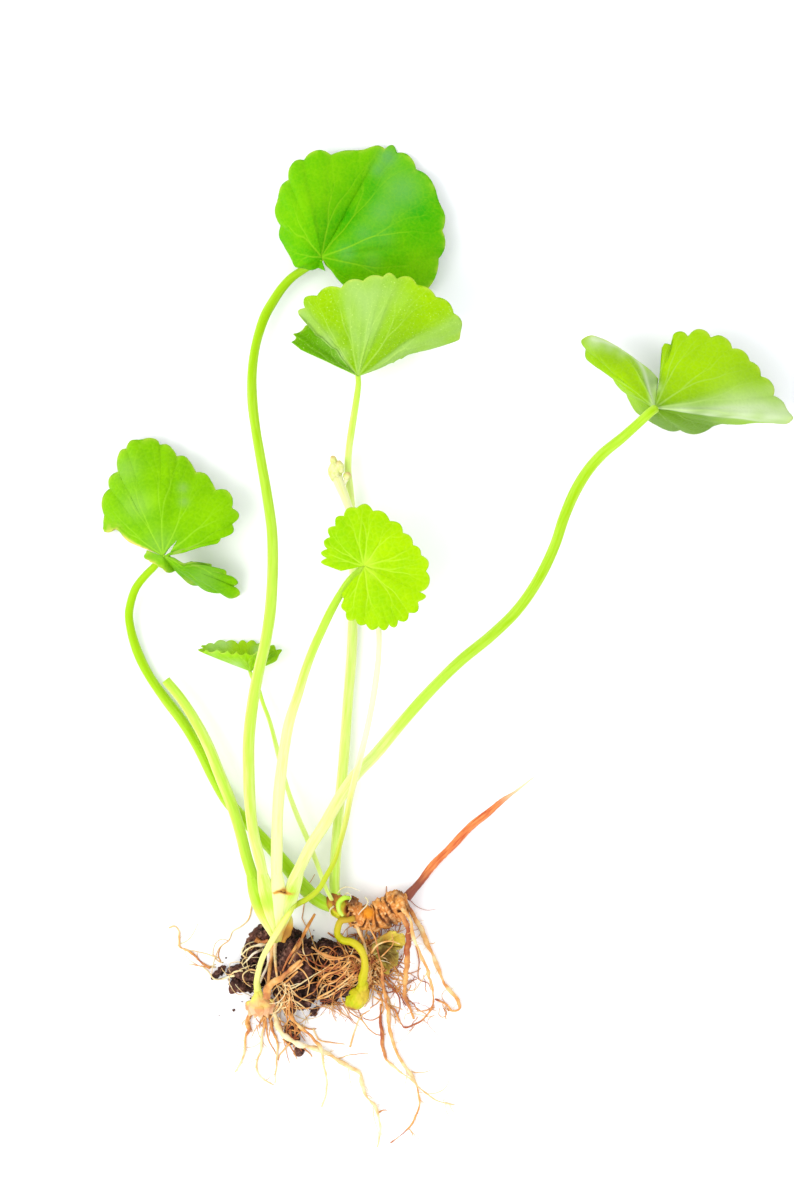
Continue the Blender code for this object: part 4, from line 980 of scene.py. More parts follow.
MIDDLE_RIM = [
    (341, 571, 14.4), (330, 567, 14.2), (321, 562, 14.2), (327, 558, 14.3), (321, 553, 14.2),
    (328, 549, 14.4), (324, 541, 14.4), (330, 537, 14.6), (328, 529, 14.6), (336, 526, 15.0),
    (337, 517, 15.0), (344, 516, 15.2), (347, 509, 15.2), (357, 508, 15.6), (366, 504, 15.6),
    (373, 511, 16.0), (381, 511, 16.0), (390, 521, 16.4), (400, 524, 16.4), (403, 533, 16.6),
    (411, 537, 16.6), (413, 545, 16.6), (420, 549, 16.4), (421, 555, 16.4), (429, 563, 16.2),
    (426, 571, 16.2), (430, 580, 16.0), (426, 589, 15.8), (419, 592, 15.8), (426, 596, 15.6),
    (418, 602, 15.6), (417, 612, 15.2), (409, 613, 15.2), (406, 621, 15.0), (398, 620, 14.8),
    (395, 627, 14.6), (389, 624, 14.5), (384, 630, 14.4), (379, 626, 14.3), (372, 630, 14.0),
    (366, 624, 14.1), (360, 625, 14.1), (356, 619, 14.0), (348, 620, 13.9), (346, 612, 13.9),
    (341, 606, 14.0), (345, 600, 14.1), (342, 595, 14.2), (352, 587, 14.5),
]
middle_leaf = leaf(
    (364, 566, 15.0), MIDDLE_RIM,
    (0.2, 0.5, 0.8, 0.6, 0.2, 0.6, 0.8, 0.6, 0.2),
    tips=[(322, 557), (327, 536), (350, 508), (370, 507), (397, 523), (420, 551), (428, 577),
          (412, 612), (375, 629), (345, 613)],
    columns=400, rows=40, pleat=0.22, groove=0.08,
    # The shades paint shade left of the hub and light on the blade, and the sheens a painted sheen at
    # the hub
    shades=[(380, 560, 22, 0.2), (340, 545, 24, -0.35), (345, 520, 16, -0.2), (385, 615, 20, -0.1)],
    sheens=[(369, 562, 7, 0.6), (372, 574, 5, 0.4)],
)
middle_skin = leaf_finish(
    "leaf_skin_young", "#80ba00", "#a2cc00", "#b8d83c", "#bcdc40", "#94b830", lines=0.5
)
make("blade_middle", middle_leaf, middle_skin, "leaf", "leaf_middle")

SMALL_RIM = [
    (262, 655, 7.6), (257, 651, 8.3), (251, 655, 8.4), (246, 652, 8.8), (241, 655, 8.6),
    (237, 651, 8.8), (232, 654, 8.2), (228, 650, 8.3), (222, 653, 7.6), (217, 649, 7.3),
    (211, 652, 6.4), (206, 649, 5.8), (203, 652, 5.0), (198, 650, 4.2), (204, 648, 3.2),
    (201, 646, 2.8), (206, 645, 2.3), (209, 643, 1.9), (214, 644, 1.6), (220, 640, 1.2),
    (226, 642, 1.0), (232, 640, 0.8), (238, 644, 0.7), (242, 640, 0.7), (247, 643, 0.7),
    (252, 640, 0.8), (257, 644, 0.9), (263, 643, 1.1), (267, 648, 1.3), (274, 645, 1.8),
    (276, 650, 2.4), (282, 650, 3.0), (279, 655, 3.7), (277, 660, 4.2), (269, 664, 4.6),
]
small_leaf = leaf(
    (250, 671, 4.0), SMALL_RIM,
    (0.2, 0.8, 0.8, 0.0, -0.6, -0.8, -0.6, 0.0, 0.2),
    tips=[(246, 651), (216, 650), (198, 650), (221, 640), (255, 642), (281, 651)],
    columns=300, rows=30, pleat=0.12, groove=0.05, face=-1, rumple=0.04,
    # The shades paint light and shade on the little cup, and the sheens a silvery reflection
    shades=[(235, 655, 16, 0.5), (270, 655, 10, -0.5), (245, 642, 6, 0.7)],
    sheens=[(213, 659, 5, 0.4), (224, 664, 6, 0.4), (236, 667, 7, 0.8), (212, 645, 7, 0.4),
            (224, 643, 7, 0.6), (258, 650, 5, 0.6)],
)
small_skin = leaf_finish(
    "leaf_skin_small", "#689c04", "#9cc814", "#a8cc80", "#b8d468", "#8cc008", lines=0.35,
    mottled=0.5,
)
make("blade_small", small_leaf, small_skin, "leaf", "leaf_small")


# Withered leaf: an old blade that has dried olive-yellow and crumpled against the rhizome. It
# still hangs on by its base.
WITHERED_RIM = [
    (384, 936, 6.0), (395, 934, 6.6), (405, 938, 5.0), (404, 947, 3.2), (397, 950, 5.0),
    (399, 957, 2.4), (394, 965, 0.8), (385, 967, 0.8), (377, 962, 2.0),
]
withered_leaf = leaf(
    (373, 946, 4.5), WITHERED_RIM, (0.8, -0.6, 1.2, -0.4, 1.0),
    tips=[(384, 936), (405, 938), (404, 947), (397, 950), (399, 957), (394, 965), (377, 962)],
    columns=160, rows=60, pleat=0.9, groove=0.35, rumple=1.1,
    shades=[(397, 939, 9, 0.6), (389, 955, 13, -0.9)],
    sheens=[(386, 938, 5, 0.5), (392, 962, 5, 0.6)],
    torn=[(400, 940, 14, 0.6), (385, 965, 12, 0.6)],
)
withered_skin = leaf_finish(
    "leaf_skin_withered", "#54401c", "#ccb43c", "#b07c30", "#d8c468", "#8c6c2c", roughness=0.7
)
make("blade_withered", withered_leaf, withered_skin, "withered_leaf", "withered_leaf")


# Flower stalk: thin and nearly white, it leans over the other stalks from the main crown, and it
# widens at its tip into a clump of closed flower buds in pinkish scales.
BUD_STALK = [
    (337, 477, 5.3), (340, 485, 5.4), (345, 497, 5.5), (348, 505, 5.6), (360, 545, 6.6),
    (371, 590, 8.0), (378, 620, 8.8), (379, 650, 9.2), (376, 680, 9.4), (372, 705, 9.6),
    (367, 730, 9.8), (361, 755, 10.0), (356, 775, 10.2), (351, 795, 10.4), (346, 820, 10.6),
    (341, 840, 10.8), (335, 860, 10.8), (327, 875, 10.8), (318, 890, 10.6), (307, 899, 10.4),
    (296, 905, 10.4), (288, 911, 10.7), (282, 918, 10.9),
]
BUD_STALKLET = [(341, 487, 5.4), (345, 482, 5.4), (347, 478, 5.4)]
flower_stalk_skin = stalk_finish("flower_stalk_skin", "#aebc28", "#ced078", "#e2e0b8")
flower_stalk = join(
    stalk(BUD_STALK, (2.2, 1.3, 1.1, 1.1, 1.1, 1.15, 1.2, 1.1, 1.1, 1.1),
          (0.7, 1.0, 1.1, 1.1, 1.0, 0.4, -0.1, -0.05), seed=90),
    stalk(BUD_STALKLET, (1.0, 0.9, 1.0), (0.9, 0.9), seed=91),
)
make("flower_stalk", flower_stalk, flower_stalk_skin, "flower_stalk", "bud_stalk")

# Bud scales: cream, with a pink flush towards the tip, and dull
scales, tree, shader = new_finish("bud_scales", 0.6, 0.25)
drum = add(tree, "ShaderNodeAttribute", {}, "Vector", attribute_name="drum")
blots = add(tree, "ShaderNodeTexNoise", {"Vector": drum, "Scale": PER_MM / 0.8, "Detail": 3.0})
cream = coat(tree, "#c8d070", blots, "#dcd8a8", 0.35, 0.7)
cream = coat(tree, cream, "pink", "#cc9468", 0.55, 1.0, high=0.7)
drawn = add(tree, "ShaderNodeMapping", {"Vector": drum, "Scale": (1, 1, 1 / 4)})
ribs = add(tree, "ShaderNodeTexNoise", {"Vector": drawn, "Scale": PER_MM / 0.3, "Detail": 3.0})
dress(tree, shader, cream, ribs, 0.1)
BUDS = {
    "bud_left": (
        ((335, 472, 5.3), (2.5, 4.2, 2.4), 4, 0.4), ((333.5, 461, 5.3), (1.3, 2.2, 1.4), 12, 1.0),
    ),
    "bud_middle": (((340, 467, 5.7), (1.6, 2.7, 1.7), 14, 0.9),),
    "bud_right": (((347, 476, 5.5), (1.5, 1.7, 1.5), -30, 1.1),),
}
BUD_SKIN = ((0.8, 0.12), (0.35, 0.06))
for seed, (node, parts) in enumerate(BUDS.items()):
    forms = []
    for middle, size, turn, pink in parts:
        form = ball(middle, size, turn, 60, rib=(6, 0.06), rough=BUD_SKIN, seed=95 + seed)
        form[2]["pink"] = pink * form[2]["along"]
        forms.append(form)
    make(node + "_scales", join(*forms), scales, "bud", node)

LAID_STEP = 0.4


def evened(heights):
    """Heights along a line, each turned to the mean of the seven round it."""
    return np.convolve(np.pad(heights, 3, mode="edge"), np.full(7, 1 / 7), mode="valid")


def laid(node, route, step=LAID_STEP):
    """The line of a piece that lies on others, over its (column, row) route: its heights are the
    means of its CAD solid's corners, weighed by 1 / distance ** 4 in plan, then evened out."""
    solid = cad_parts[node].data
    corners = np.empty(len(solid.vertices) * 3)
    solid.vertices.foreach_get("co", corners)
    corners = corners.reshape(-1, 3) / MM
    route = np.array([(*spot, 0.0) for spot in route])
    length = np.linalg.norm(np.diff(route, axis=0), axis=1).sum() * PIXEL
    flat, _ = smooth(route, int(length / step) + 4)
    for _ in range(3):
        line = place(flat)
        apart = np.linalg.norm(line[:, None, :2] - corners[:, :2], axis=-1)
        weight = 1 / (apart + 0.25) ** 4
        flat[:, 2] = (weight * corners[:, 2]).sum(axis=1) / weight.sum(axis=1)
    flat[:, 2] = evened(flat[:, 2])
    return place(flat)


# Bloom: a drooping stalk from the crown's side widens into a yellow-green cup, and ten pointed
# petals hang out of it close together, flushed pink, over the loam.
BLOOM_STEM = [
    (296, 904), (285, 919), (276, 934), (269, 946), (263, 957), (259, 970), (257, 982), (258, 991)
]
bloom_line = laid("bloom_stalk", BLOOM_STEM)
bloom_line[:, 2] += np.interp(np.arange(len(bloom_line)), (0, 5, 22), (-0.6, 1.6, 0.0))
form = tube(bloom_line, (0.4, 1.1, 1.3, 1.2, 1.1, 1.1, 1.2, 1.5), 20, rib=(5, 0.03), seed=92)
form = tint(form, (0.3, 0.6, 0.8, 0.9, 0.8, 0.6))
bloom_stem_skin = stalk_finish("bloom_stem_skin", "#a8c818", "#c8d454", "#e2dc90")
make("bloom_stem", form, bloom_stem_skin, "flower_stalk", "bloom_stalk")

CUP_LINE = [(258, 984, 4.6), (258, 990, 4.7), (259, 996, 4.5), (260, 1003, 4.0), (261, 1011, 3.2)]
PETALS = (
    (253, 1002, 246, 1010, 2.6, 0.2), (255, 1003, 249, 1016, 2.2, 0.7),
    (258, 1003, 255, 1018, 2.2, 0.4), (260, 1003, 261, 1019, 2.2, 0.9),
    (262, 1003, 268, 1018, 2.2, 0.3), (265, 1003, 273, 1014, 2.4, 0.8),
    (267, 1001, 275, 1008, 2.6, 0.5), (257, 1002, 252, 1015, 3.6, 1.0),
    (263, 1002, 267, 1016, 3.7, 0.6), (260, 1002, 259, 1017, 4.0, 0.2),
)
cup = tube(smooth(place(CUP_LINE), 60)[0], (1.1, 1.2, 1.4, 2.0, 3.0, 4.1, 4.8, 4.8, 3.2), 48,
           rib=(5, 0.06), rough=((1.4, 0.25), (0.6, 0.1)), flat=0.6, seed=97)
bloom = [cup] + [
    tube(smooth(place([(u, v, 4.0), ((u + c) / 2, (v + r) / 2, h + 0.8), (c, r, h)]), 24)[0],
         (1.2, 1.8, 2.2, 2.1, 1.6, 0.9, 0.15), 18, rough=((0.9, 0.12),), flat=0.5, seed=100 + i)
    for i, (u, v, c, r, h, _) in enumerate(PETALS)
]
for form, tone in zip(bloom, [0.0] + [petal[-1] for petal in PETALS]):
    form[2]["tone"] = tone + 0.0 * form[2]["along"]
cup[2]["along"] = 0.95 * cup[2]["along"] - 0.18 + 0.15 * grain(cup[0], 1.3)
cup[2]["tone"] = 0.5 + 0.5 * grain(cup[0], 1.2, 1)

# Petal skin: yellow-green at the cup, then flushed orange-pink, with a pale yellow tip
petals, tree, shader = new_finish("petal_skin", 0.55, 0.2)
drum = add(tree, "ShaderNodeAttribute", {}, "Vector", attribute_name="drum")
blots = add(tree, "ShaderNodeTexNoise", {"Vector": drum, "Scale": PER_MM / 1.2, "Detail": 3.0})
warm = coat(tree, "#d48450", "tone", "#e2b088")
warm = coat(tree, warm, blots, "#ecd490", 0.45, 0.7, high=0.8)
warm = coat(tree, "#d4cc58", "along", warm, 0.22, 0.5)
warm = coat(tree, warm, "along", "#dcc890", 0.75, 1.0, high=0.7)
drawn = add(tree, "ShaderNodeMapping", {"Vector": drum, "Scale": (1, 1, 1 / 6)})
ribs = add(tree, "ShaderNodeTexNoise", {"Vector": drawn, "Scale": PER_MM / 0.3, "Detail": 3.0})
dress(tree, shader, warm, ribs, 0.1)
make("bloom_petals", join(*bloom), petals, "bud", "bloom")


# Fruit: a green head of ribbed lobes grown together, with a dark withered tip, on a stalk that
# curls round from the side crown. A young shoot curls beside it.
FRUIT_STEM = [
    (355, 918), (348, 920), (341, 921), (338, 927), (338, 935), (343, 940), (352, 942), (359, 947),
    (364, 956), (365, 967), (363, 978), (361, 987),
]
fruit_skin = stalk_finish("fruit_skin", "#9cac08", "#bcb81c", "#d0bc38", rust="#a47028")
fruit_line = laid("fruit_stalk", FRUIT_STEM)
fruit_line[-14:, 2] -= np.linspace(0, 0.9, 14)
fruit_widths = (1.1, 1.2, 1.3, 1.4, 1.5, 1.5, 1.5, 1.4, 1.5, 1.9, 1.2)
form = tube(fruit_line, fruit_widths, 20, rib=(5, 0.04), rough=((1.5, 0.08),), seed=98)
form = tint(form, (0.9, 0.6, 0.3, 0.7, 0.8, 0.6, 0.4), (0.8, 0.5, 0.1, 0, 0, 0.1, 0.1, 0.1, 0))
make("fruit_stem", form, fruit_skin, "fruit", "fruit_stalk")
lobes = [
    ball(middle, size, turn, 60, rib=(7, 0.05), rough=((1.2, 0.12), (0.4, 0.05)), seed=99)
    for middle, size, turn in (
        ((356, 998.5, 3.9), (4.0, 4.8, 4.2), -25), ((362.5, 995.5, 3.8), (2.6, 4.0, 3.6), -12),
        ((351.5, 1000, 3.6), (2.4, 3.6, 3.2), -14), ((361.5, 989, 4.1), (2.4, 4.0, 3.0), -20),
    )
]
form = join(*lobes)
# Painted shade: the lobes are a darker, less pale green in the hollows between their bumps
form[2]["pale"] = 0.9 - 0.9 * form[2]["hollow"] + near(form[0], (366, 996, 3.0), 1.6)
rim = np.clip(1.4 - form[2]["along"] / 0.1, 0, 1.6)
form[2]["rust"] = rim + near(form[0], (353, 1009, 2.0), 0.8)
form[2]["rust"] += 0.4 * near(form[0], (367, 994, 3.0), 1.2)
make("fruit_head", form, fruit_skin, "fruit", "fruit")
shoot_line = laid("young_shoot", [(351, 898), (344, 898), (339, 903), (339, 910), (343, 916)], 0.2)
form = tint(tube(shoot_line, (0.6, 1.0, 1.0, 0.9, 0.5), 16), (0.2, 0.6))
make("shoot_skin", form, petiole_skin, "petiole", "young_shoot")


# Main roots: orange to cream cords, wrinkled, with swellings, that spring from the rhizome and
# from the crown and lie over the loam and each other.
ROOTS = {
    "root_far_left": (
        [(210, 968), (203, 963), (195, 955), (187, 950), (180, 947), (179, 938), (180, 931),
         (175, 926), (170, 928)],
        (0.55, 0.45, 0.35, 0.25), (0.9, 0.6, 0.3),
    ),
    "root_left_1": (
        [(252, 1012), (247, 1022), (250, 1029), (246, 1037), (245, 1047), (243, 1058), (238, 1068),
         (235, 1072)],
        (1.0, 0.75, 0.5, 0.25), (1.0, 0.6, 0.2, 0.3),
    ),
    "root_left_2": (
        [(264, 1014), (266, 1026), (262, 1038), (260, 1050), (257, 1062), (258, 1072), (265, 1080),
         (274, 1085)],
        (0.7, 0.5, 0.4, 0.2), (0.7, 0.4, 0.2, 0.2),
    ),
    "root_left_3": (
        [(268, 1013), (272, 1026), (275, 1038), (277, 1050), (277, 1065), (275, 1083)],
        (0.6, 0.45, 0.35, 0.2), (0.8, 0.5, 0.2),
    ),
    "root_left_4": (
        [(268, 1003), (276, 1018), (280, 1030), (290, 1040), (305, 1046), (318, 1049), (330, 1054),
         (342, 1062), (352, 1068), (360, 1073), (363, 1085), (368, 1099), (375, 1106), (379, 1120),
         (379, 1135), (376, 1147)],
        (1.2, 1.1, 0.9, 0.75, 0.55, 0.25), (0.3, 0.0, 0.2, 0.35, 0.0, 0.2),
    ),
    "root_left_5": (
        [(280, 1004), (290, 1016), (300, 1027), (312, 1038), (320, 1048), (324, 1062), (327, 1080),
         (325, 1096), (321, 1107)],
        (0.9, 0.7, 0.4, 0.25), (0.8, 0.6, 0.2, 0.2),
    ),
    "root_right_1": (
        [(406, 905), (414, 917), (421, 928), (428, 945), (437, 965), (448, 987), (457, 1001),
         (458, 1009), (452, 1011), (446, 1004), (435, 999)],
        (0.95, 0.95, 0.85, 0.75, 0.65, 0.5, 0.3), (0.9, 0.5, 0.4, 0.4, 0.7, 1.1),
    ),
    "root_right_3": (
        [(400, 912), (405, 923), (408, 933), (407, 950), (405, 970), (404, 985), (405, 997),
         (410, 1007), (413, 1019)],
        (1.2, 1.1, 0.9, 0.8, 0.4), (0.8, 1.2, 0.6, 0.7, 0.8),
    ),
    "root_right_2": (
        [(403, 908), (410, 919), (412, 932), (417, 947), (423, 961), (429, 977), (433, 992),
         (434, 1004), (428, 1014), (416, 1024), (404, 1027), (399, 1018), (394, 1009), (386, 1005)],
        (0.8, 0.75, 0.65, 0.5, 0.4, 0.25), (0.6, 0.4, 0.5, 0.8, 1.0, 1.1),
    ),
    "root_right_4": (
        [(368, 919), (371, 928), (375, 938), (380, 960), (383, 985), (386, 1002), (388, 1017),
         (391, 1032), (396, 1049), (403, 1064), (413, 1078), (417, 1090), (420, 1104), (417, 1115),
         (409, 1128), (400, 1136), (391, 1143)],
        (0.4, 0.4, 0.5, 0.8, 0.7, 0.55, 0.35, 0.2), (0.9, 1.0, 0.9, 0.7, 0.5, 0.35, 0.7, 1.1),
    ),
    "root_right_5": (
        [(379, 1004), (380, 1014), (382, 1030), (382, 1045), (386, 1059), (396, 1070), (410, 1079),
         (423, 1090), (438, 1101), (454, 1105)],
        (0.4, 0.8, 0.7, 0.4, 0.4, 0.35, 0.25), (1.0, 1.2, 1.1, 0.3, 0.2, 0.3, 0.6),
    ),
    "root_thick": (
        [(301, 960), (290, 970), (281, 978), (271, 984), (266, 991), (266, 999)],
        (0.3, 0.8, 1.0, 1.1, 1.4, 1.7, 1.1), (0.7, 0.85, 0.75, 0.85, 1.0),
    ),
    "root_white": ([(268, 944), (259, 945), (251, 947), (242, 955)], (0.6, 0.5, 0.3), (-0.3, 0.0)),
    "root_mat_1": (
        [(311, 947), (325, 955), (340, 958), (354, 956), (362, 962)],
        (0.5, 0.4, 0.3), (0.5, 0.8),
    ),
    "root_mat_2": ([(317, 986), (326, 975), (340, 970), (351, 961)], (0.5, 0.4, 0.3), (0.8, 0.5)),
    "root_mat_3": ([(318, 998), (331, 991), (345, 981), (356, 970)], (0.5, 0.4, 0.3), (0.5, 0.8)),
}

# Root skin: cream over an orange core that shows where the skin is thin and where shade is painted
# into the hollows of its bumps, dull, wrinkled across
root_skin, tree, shader = new_finish("root_skin", 0.6, 0.3)
where = add(tree, "ShaderNodeTexCoord", {}, "Object")
blots = add(tree, "ShaderNodeTexNoise", {"Vector": where, "Scale": PER_MM / 2.5, "Detail": 4.0})
ends = {"From Min": 0.35, "From Max": 0.7, "To Min": -0.35, "To Max": 0.35}
blots = add(tree, "ShaderNodeMapRange", {"Value": blots, **ends})
core = add(tree, "ShaderNodeAttribute", {}, "Fac", attribute_name="tone")
core = add(tree, "ShaderNodeMath", {0: core, 1: blots})
colour = coat(tree, "#e6d8cc", core, "#e4d4a0", -0.6, 0.0)
colour = coat(tree, colour, core, "#d89c54", 0.0, 0.6)
colour = coat(tree, colour, core, "#a0522c", 0.6, 1.1)
wrinkles = add(tree, "ShaderNodeTexNoise", {"Vector": where, "Scale": PER_MM / 0.35, "Detail": 4.0})
dress(tree, shader, colour, wrinkles, 0.12)

root_lines = {}
for seed, (node, (route, widths, tones)) in enumerate(ROOTS.items()):
    line = laid(node, route)
    line[:, 0] += 0.2 * grain(line, 1.4, seed) + 0.3 * grain(line, 4.0, seed)
    root_lines[node] = line
    form = tube(line, widths, 14, rough=((1.6, 0.2), (0.7, 0.16), (0.3, 0.05)), seed=110 + seed)
    # The hollows of a root's bumps get a higher, darker tone: painted shade
    form[2]["tone"] = spread(tones, form[2]["along"]) + 0.5 * (form[2]["hollow"] - 0.5)
    make(node.replace("root", "root_cord"), form, root_skin, "root", node)
stick_line = laid("dry_stick", [(315, 914), (305, 932), (298, 948), (289, 964)])
form = tube(stick_line, (0.5, 0.65, 0.6, 0.5, 0.45, 0.3), 20, rib=(3, 0.12),
            rough=((1.4, 0.08), (0.4, 0.06)), seed=130)
form[2]["burnt"] = np.clip(0.25 + 0.7 * grain(form[0], 1.2), 0, 0.8)
make("stick_bark", form, bark, "dry_stick", "dry_stick")


# Fine roots: branches and hairs as thin as thread, on every main root, through the mat of loam
# and in a fringe below it. They dried as they fell, in loose curls.


def strands(starts, headings, lengths, seed, curl=0.12, wander=0.12, fall=0.7, steps=14, lift=0.14):
    """Lines of fine roots (count, steps + 1, 3): at every step a root's heading turns by its own
    curl, up to curl radians a millimetre, and by a normal random angle. It lies on the loam or the
    surface, and comes down to it from its start's height at the slope fall."""
    rng = np.random.default_rng(seed)
    step = (lengths / steps)[:, None]
    turns = rng.normal(0, wander, (len(starts), steps))
    turns += rng.normal(0, curl, (len(starts), 1)) * step
    heading = headings[:, None] + np.cumsum(turns, axis=1)
    moves = np.dstack((np.cos(heading), np.sin(heading))) * step[..., None]
    moves = np.concatenate((np.zeros((len(starts), 1, 2)), moves), axis=1)
    plan = starts[:, None, :2] + np.cumsum(moves, axis=1)
    reach = step * np.arange(steps + 1)
    floor = np.pad(ground(plan), ((0, 0), (2, 2)), mode="edge")
    floor = sum(floor[:, i : i + steps + 1] for i in range(5)) / 5
    floor = np.maximum(floor, ground(plan) - 0.15) + lift
    return np.dstack((plan, np.maximum(floor, starts[:, None, 2] - fall * reach)))


def fine_roots(name, lines, widths, tones, sides=6):
    """Joined skins over strands; widths and tones are one a strand, and a strand tapers evenly to
    0.45 of its width."""
    rows = lines.shape[1]
    points, faces = skin(lines, widths[:, None] * np.linspace(1, 0.45, rows), sides)
    make(name, (points, faces, {"tone": each(tones, rows, sides)}), root_skin, "root")


rng = np.random.default_rng(12)
for kind, per_mm, length, width in (("branches", 0.12, 4.5, 0.2), ("hairs", 0.7, 1.2, 0.08)):
    starts, headings = [], []
    for line in root_lines.values():
        count = int(len(line) * LAID_STEP * per_mm)
        picked = rng.integers(2, len(line) - 2, count)
        ahead = line[picked + 1] - line[picked - 1]
        leaning = rng.choice((-1, 1), count) * rng.uniform(0.4, 1.3, count)
        starts.append(line[picked])
        headings.append(np.arctan2(ahead[:, 1], ahead[:, 0]) + leaning)
    starts, headings = np.concatenate(starts), np.concatenate(headings)
    count = len(starts)
    lines = strands(starts, headings, length * rng.uniform(0.3, 1.6, count), 13)
    widths = width * rng.uniform(0.6, 1.2, count)
    fine_roots(f"root_{kind}", lines, widths, rng.uniform(0.1, 0.6, count))


def bunch(name, middle, size, heading, count, length, width, seed, tones, height=None, **more):
    """Fine roots that start in an oval of the picture and head one way, give or take degrees."""
    rng = np.random.default_rng(seed)
    spots = np.array(middle) + rng.normal(0, 0.5, (count, 2)) * size
    starts = place(np.column_stack((spots, np.zeros(count))))
    starts[:, 2] = ground(starts[:, :2]) + 0.1 if height is None else height
    headings = np.radians(heading[0]) + rng.normal(0, np.radians(heading[1]), count)
    lines = strands(starts, headings, length * rng.uniform(0.4, 1.5, count), seed + 1, **more)
    widths = width * rng.uniform(0.6, 1.3, count)
    fine_roots(name, lines, widths, rng.uniform(*tones, count))


WILD = {"curl": 0.35, "wander": 0.3}
bunch("mat_roots", (338, 966), (24, 24), (-60, 90), 36, 13.0, 0.3, 140, (0.6, 1.1), curl=0.3,
      wander=0.22)
bunch("clod_roots", (284, 980), (10, 12), (-75, 20), 14, 7.5, 0.26, 142, (-0.1, 0.7))
bunch("left_roots", (250, 960), (12, 16), (210, 50), 8, 7.0, 0.26, 144, (0.0, 0.5), **WILD)
bunch("fringe_roots", (286, 998), (14, 10), (-75, 35), 20, 9.0, 0.32, 146, (0.0, 0.8), curl=0.2)
bunch("bloom_roots", (264, 1018), (14, 5), (-90, 25), 8, 6.0, 0.32, 148, (0.4, 1.0), 2.0)
bunch("rhizome_roots", (371, 944), (9, 16), (-86, 22), 60, 9.0, 0.34, 150, (0.5, 1.1), 2.8)
bunch("tangle_roots", (374, 962), (9, 26), (-84, 45), 80, 7.0, 0.32, 158, (0.5, 1.1), 3.0, curl=0.3)
bunch("skirt_roots", (388, 924), (22, 5), (-80, 35), 16, 3.0, 0.2, 162, (0.9, 1.6), 2.6, curl=0.25)
bunch("side_roots", (403, 982), (12, 20), (-110, 40), 26, 4.0, 0.18, 152, (0.6, 1.1), 0.4, **WILD)
bunch("tip_roots", (428, 1008), (22, 14), (-150, 70), 16, 3.5, 0.16, 160, (0.7, 1.1), 0.4, **WILD)
bunch("tail_roots", (218, 964), (12, 8), (170, 30), 5, 6.0, 0.22, 154, (0.2, 0.7))
bunch("mat_fuzz", (335, 1003), (20, 6), (-50, 60), 36, 4.5, 0.14, 156, (0.6, 1.0))
bunch("crumb_roots", (292, 1032), (10, 16), (-65, 40), 14, 3.5, 0.4, 164, (0.7, 1.1))


# Traced branches: the longer fine roots, each where the photograph shows it. They branch off the
# main ones and lie flat on the surface.
TRACED = [
    ([(252, 905), (248, 920), (240, 927), (233, 931), (229, 940), (220, 947), (216, 955),
      (213, 965), (212, 975)], 0.3, 0.3),
    ([(313, 1028), (320, 1040), (330, 1042), (345, 1044)], 0.35, 0.5),
    ([(350, 1047), (355, 1030), (362, 1015), (370, 1010)], 0.4, 0.4),
    ([(379, 1112), (383, 1110), (387, 1110)], 0.3, 0.8),
    ([(416, 945), (419, 960), (420, 980), (428, 983), (431, 990)], 0.3, 0.9),
    ([(271, 942), (270, 950), (269, 962), (263, 974), (261, 980)], 0.9, -0.3),
    ([(277, 936), (276, 946), (277, 960), (279, 974)], 0.9, 0.3),
    ([(274, 940), (273, 950), (271, 966), (268, 988)], 1.1, 0.75),
    ([(264, 948), (256, 950), (248, 958), (244, 962)], 0.6, -0.2),
    ([(260, 968), (252, 966), (245, 970), (247, 980), (252, 984)], 0.35, 0.4),
    ([(236, 972), (230, 974), (224, 978), (215, 978), (209, 972), (203, 967)], 0.5, 0.1),
    ([(410, 900), (418, 907), (427, 910), (436, 909)], 0.14, 2.0),
    ([(312, 950), (318, 966), (328, 976), (334, 972)], 0.35, 0.6),
    ([(316, 948), (330, 956), (345, 955), (356, 960), (360, 968)], 0.35, 0.6),
    ([(320, 985), (330, 968), (342, 958), (356, 962)], 0.35, 0.7),
    ([(318, 996), (324, 984), (336, 978), (346, 968), (352, 958)], 0.4, 0.5),
    ([(316, 998), (328, 994), (340, 985), (352, 976), (360, 968)], 0.4, 0.5),
    ([(296, 960), (304, 966), (310, 978), (308, 992)], 0.35, 0.7),
    ([(306, 953), (297, 962), (288, 971)], 0.5, 0.9),
    ([(300, 956), (291, 966), (282, 977)], 0.5, 0.8),
    ([(302, 935), (296, 944), (289, 955), (284, 966)], 0.7, 0.9),
    ([(303, 937), (305, 948), (309, 957)], 0.35, 0.3),
    ([(304, 958), (294, 967), (283, 975), (271, 984), (266, 990)], 0.45, 0.5),
    ([(299, 966), (288, 976), (277, 984), (271, 994)], 0.45, 0.65),
    ([(256, 938), (262, 941), (269, 938)], 1.3, 0.9),
    ([(358, 929), (362, 941), (366, 952), (367, 966), (373, 986), (382, 998)], 0.5, 0.3),
]
lines = []
for route, *_ in TRACED:
    flat, _ = smooth([(*spot, 0.0) for spot in route], 40)
    line = place(flat)
    line[:, 2] = evened(ground(line[:, :2]) + 0.25)
    lines.append(line)
traced_widths, traced_tones = np.array([looks for _, *looks in TRACED]).T
fine_roots("traced_roots", np.array(lines), traced_widths, traced_tones, sides=8)
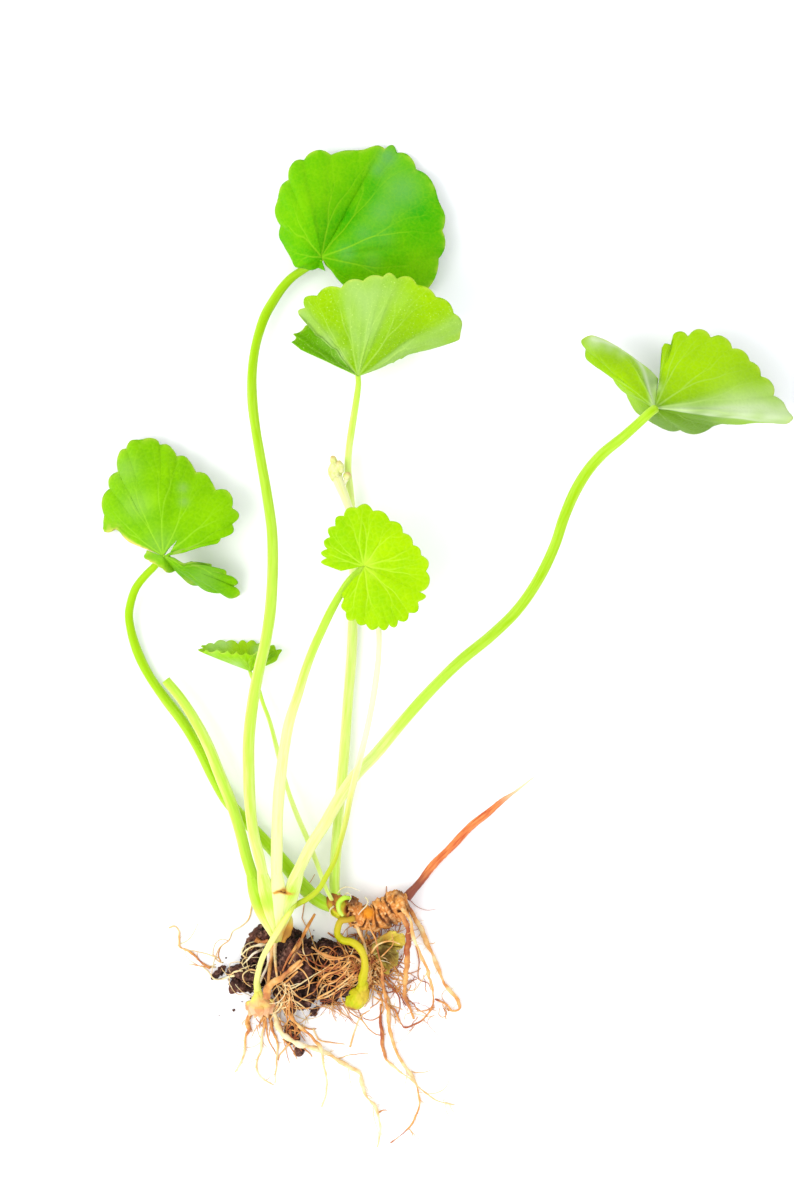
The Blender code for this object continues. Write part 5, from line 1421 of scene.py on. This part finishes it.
OVER_WITHERED = [
    [(371, 953, 5.4), (379, 944, 7.4), (390, 941, 8.2), (400, 944, 7.4)],
    [(381, 957, 6.0), (388, 950, 7.2), (393, 944, 8.0), (392, 934, 8.0)],
    [(356, 924, 4.6), (359, 931, 4.8), (362, 938, 4.5), (365, 946, 4.0), (367, 954, 3.2)],
]
lines = np.array([smooth(place(route), 30)[0] for route in OVER_WITHERED])
widths, tones = np.array(((0.45, 0.3, 0.9), (0.5, 0.7, 0.4)))
fine_roots("roots_over_withered_leaf", lines, widths, tones, sides=8)


# Stage: a matt white board under the plant, soft light from a window on the left and from the room
# all round, and a camera with a long lens straight overhead, as the photograph was taken.
HALF_FLOOR = 1.5
floor_mesh = bpy.data.meshes.new("floor")
corners = [(x * HALF_FLOOR, y * HALF_FLOOR, 0.0) for x, y in ((-1, -1), (1, -1), (1, 1), (-1, 1))]
floor_mesh.from_pydata(corners, [], [(0, 1, 2, 3)])
floor = bpy.data.objects.new("floor", floor_mesh)
board, _, shader = new_finish("matt_white_board", 0.9, 0.2)
shader.inputs["Base Color"].default_value = linear("#f9f9f9")
floor_mesh.materials.append(board)
bpy.context.scene.collection.objects.link(floor)

world = bpy.data.worlds.new("soft_room")
world.use_nodes = True
world.node_tree.nodes["Background"].inputs["Color"].default_value = (0.94, 0.95, 1.0, 1.0)
world.node_tree.nodes["Background"].inputs["Strength"].default_value = 1.31
bpy.context.scene.world = world

window = bpy.data.lights.new("window", "AREA")
window.shape = "DISK"
window.size = 0.9
window.energy = 10.0
window.color = (1.0, 0.98, 0.94)
window_stand = bpy.data.objects.new("window", window)
window_stand.location = (-0.75, -0.35, 1.05)
window_stand.rotation_euler = (-window_stand.location).to_track_quat("-Z", "Y").to_euler()
bpy.context.scene.collection.objects.link(window_stand)

lens = bpy.data.cameras.new("overhead")
lens.lens = 100.0
lens.sensor_width = 36.0
lens.clip_start = 0.01
camera = bpy.data.objects.new("overhead", lens)
over = place([(*PICTURE_MIDDLE, 0.0)])[0]
camera.location = (over[0] * MM, over[1] * MM, EYE_HEIGHT * MM)
bpy.context.scene.collection.objects.link(camera)
bpy.context.scene.camera = camera
bpy.context.scene.view_settings.view_transform = "Standard"
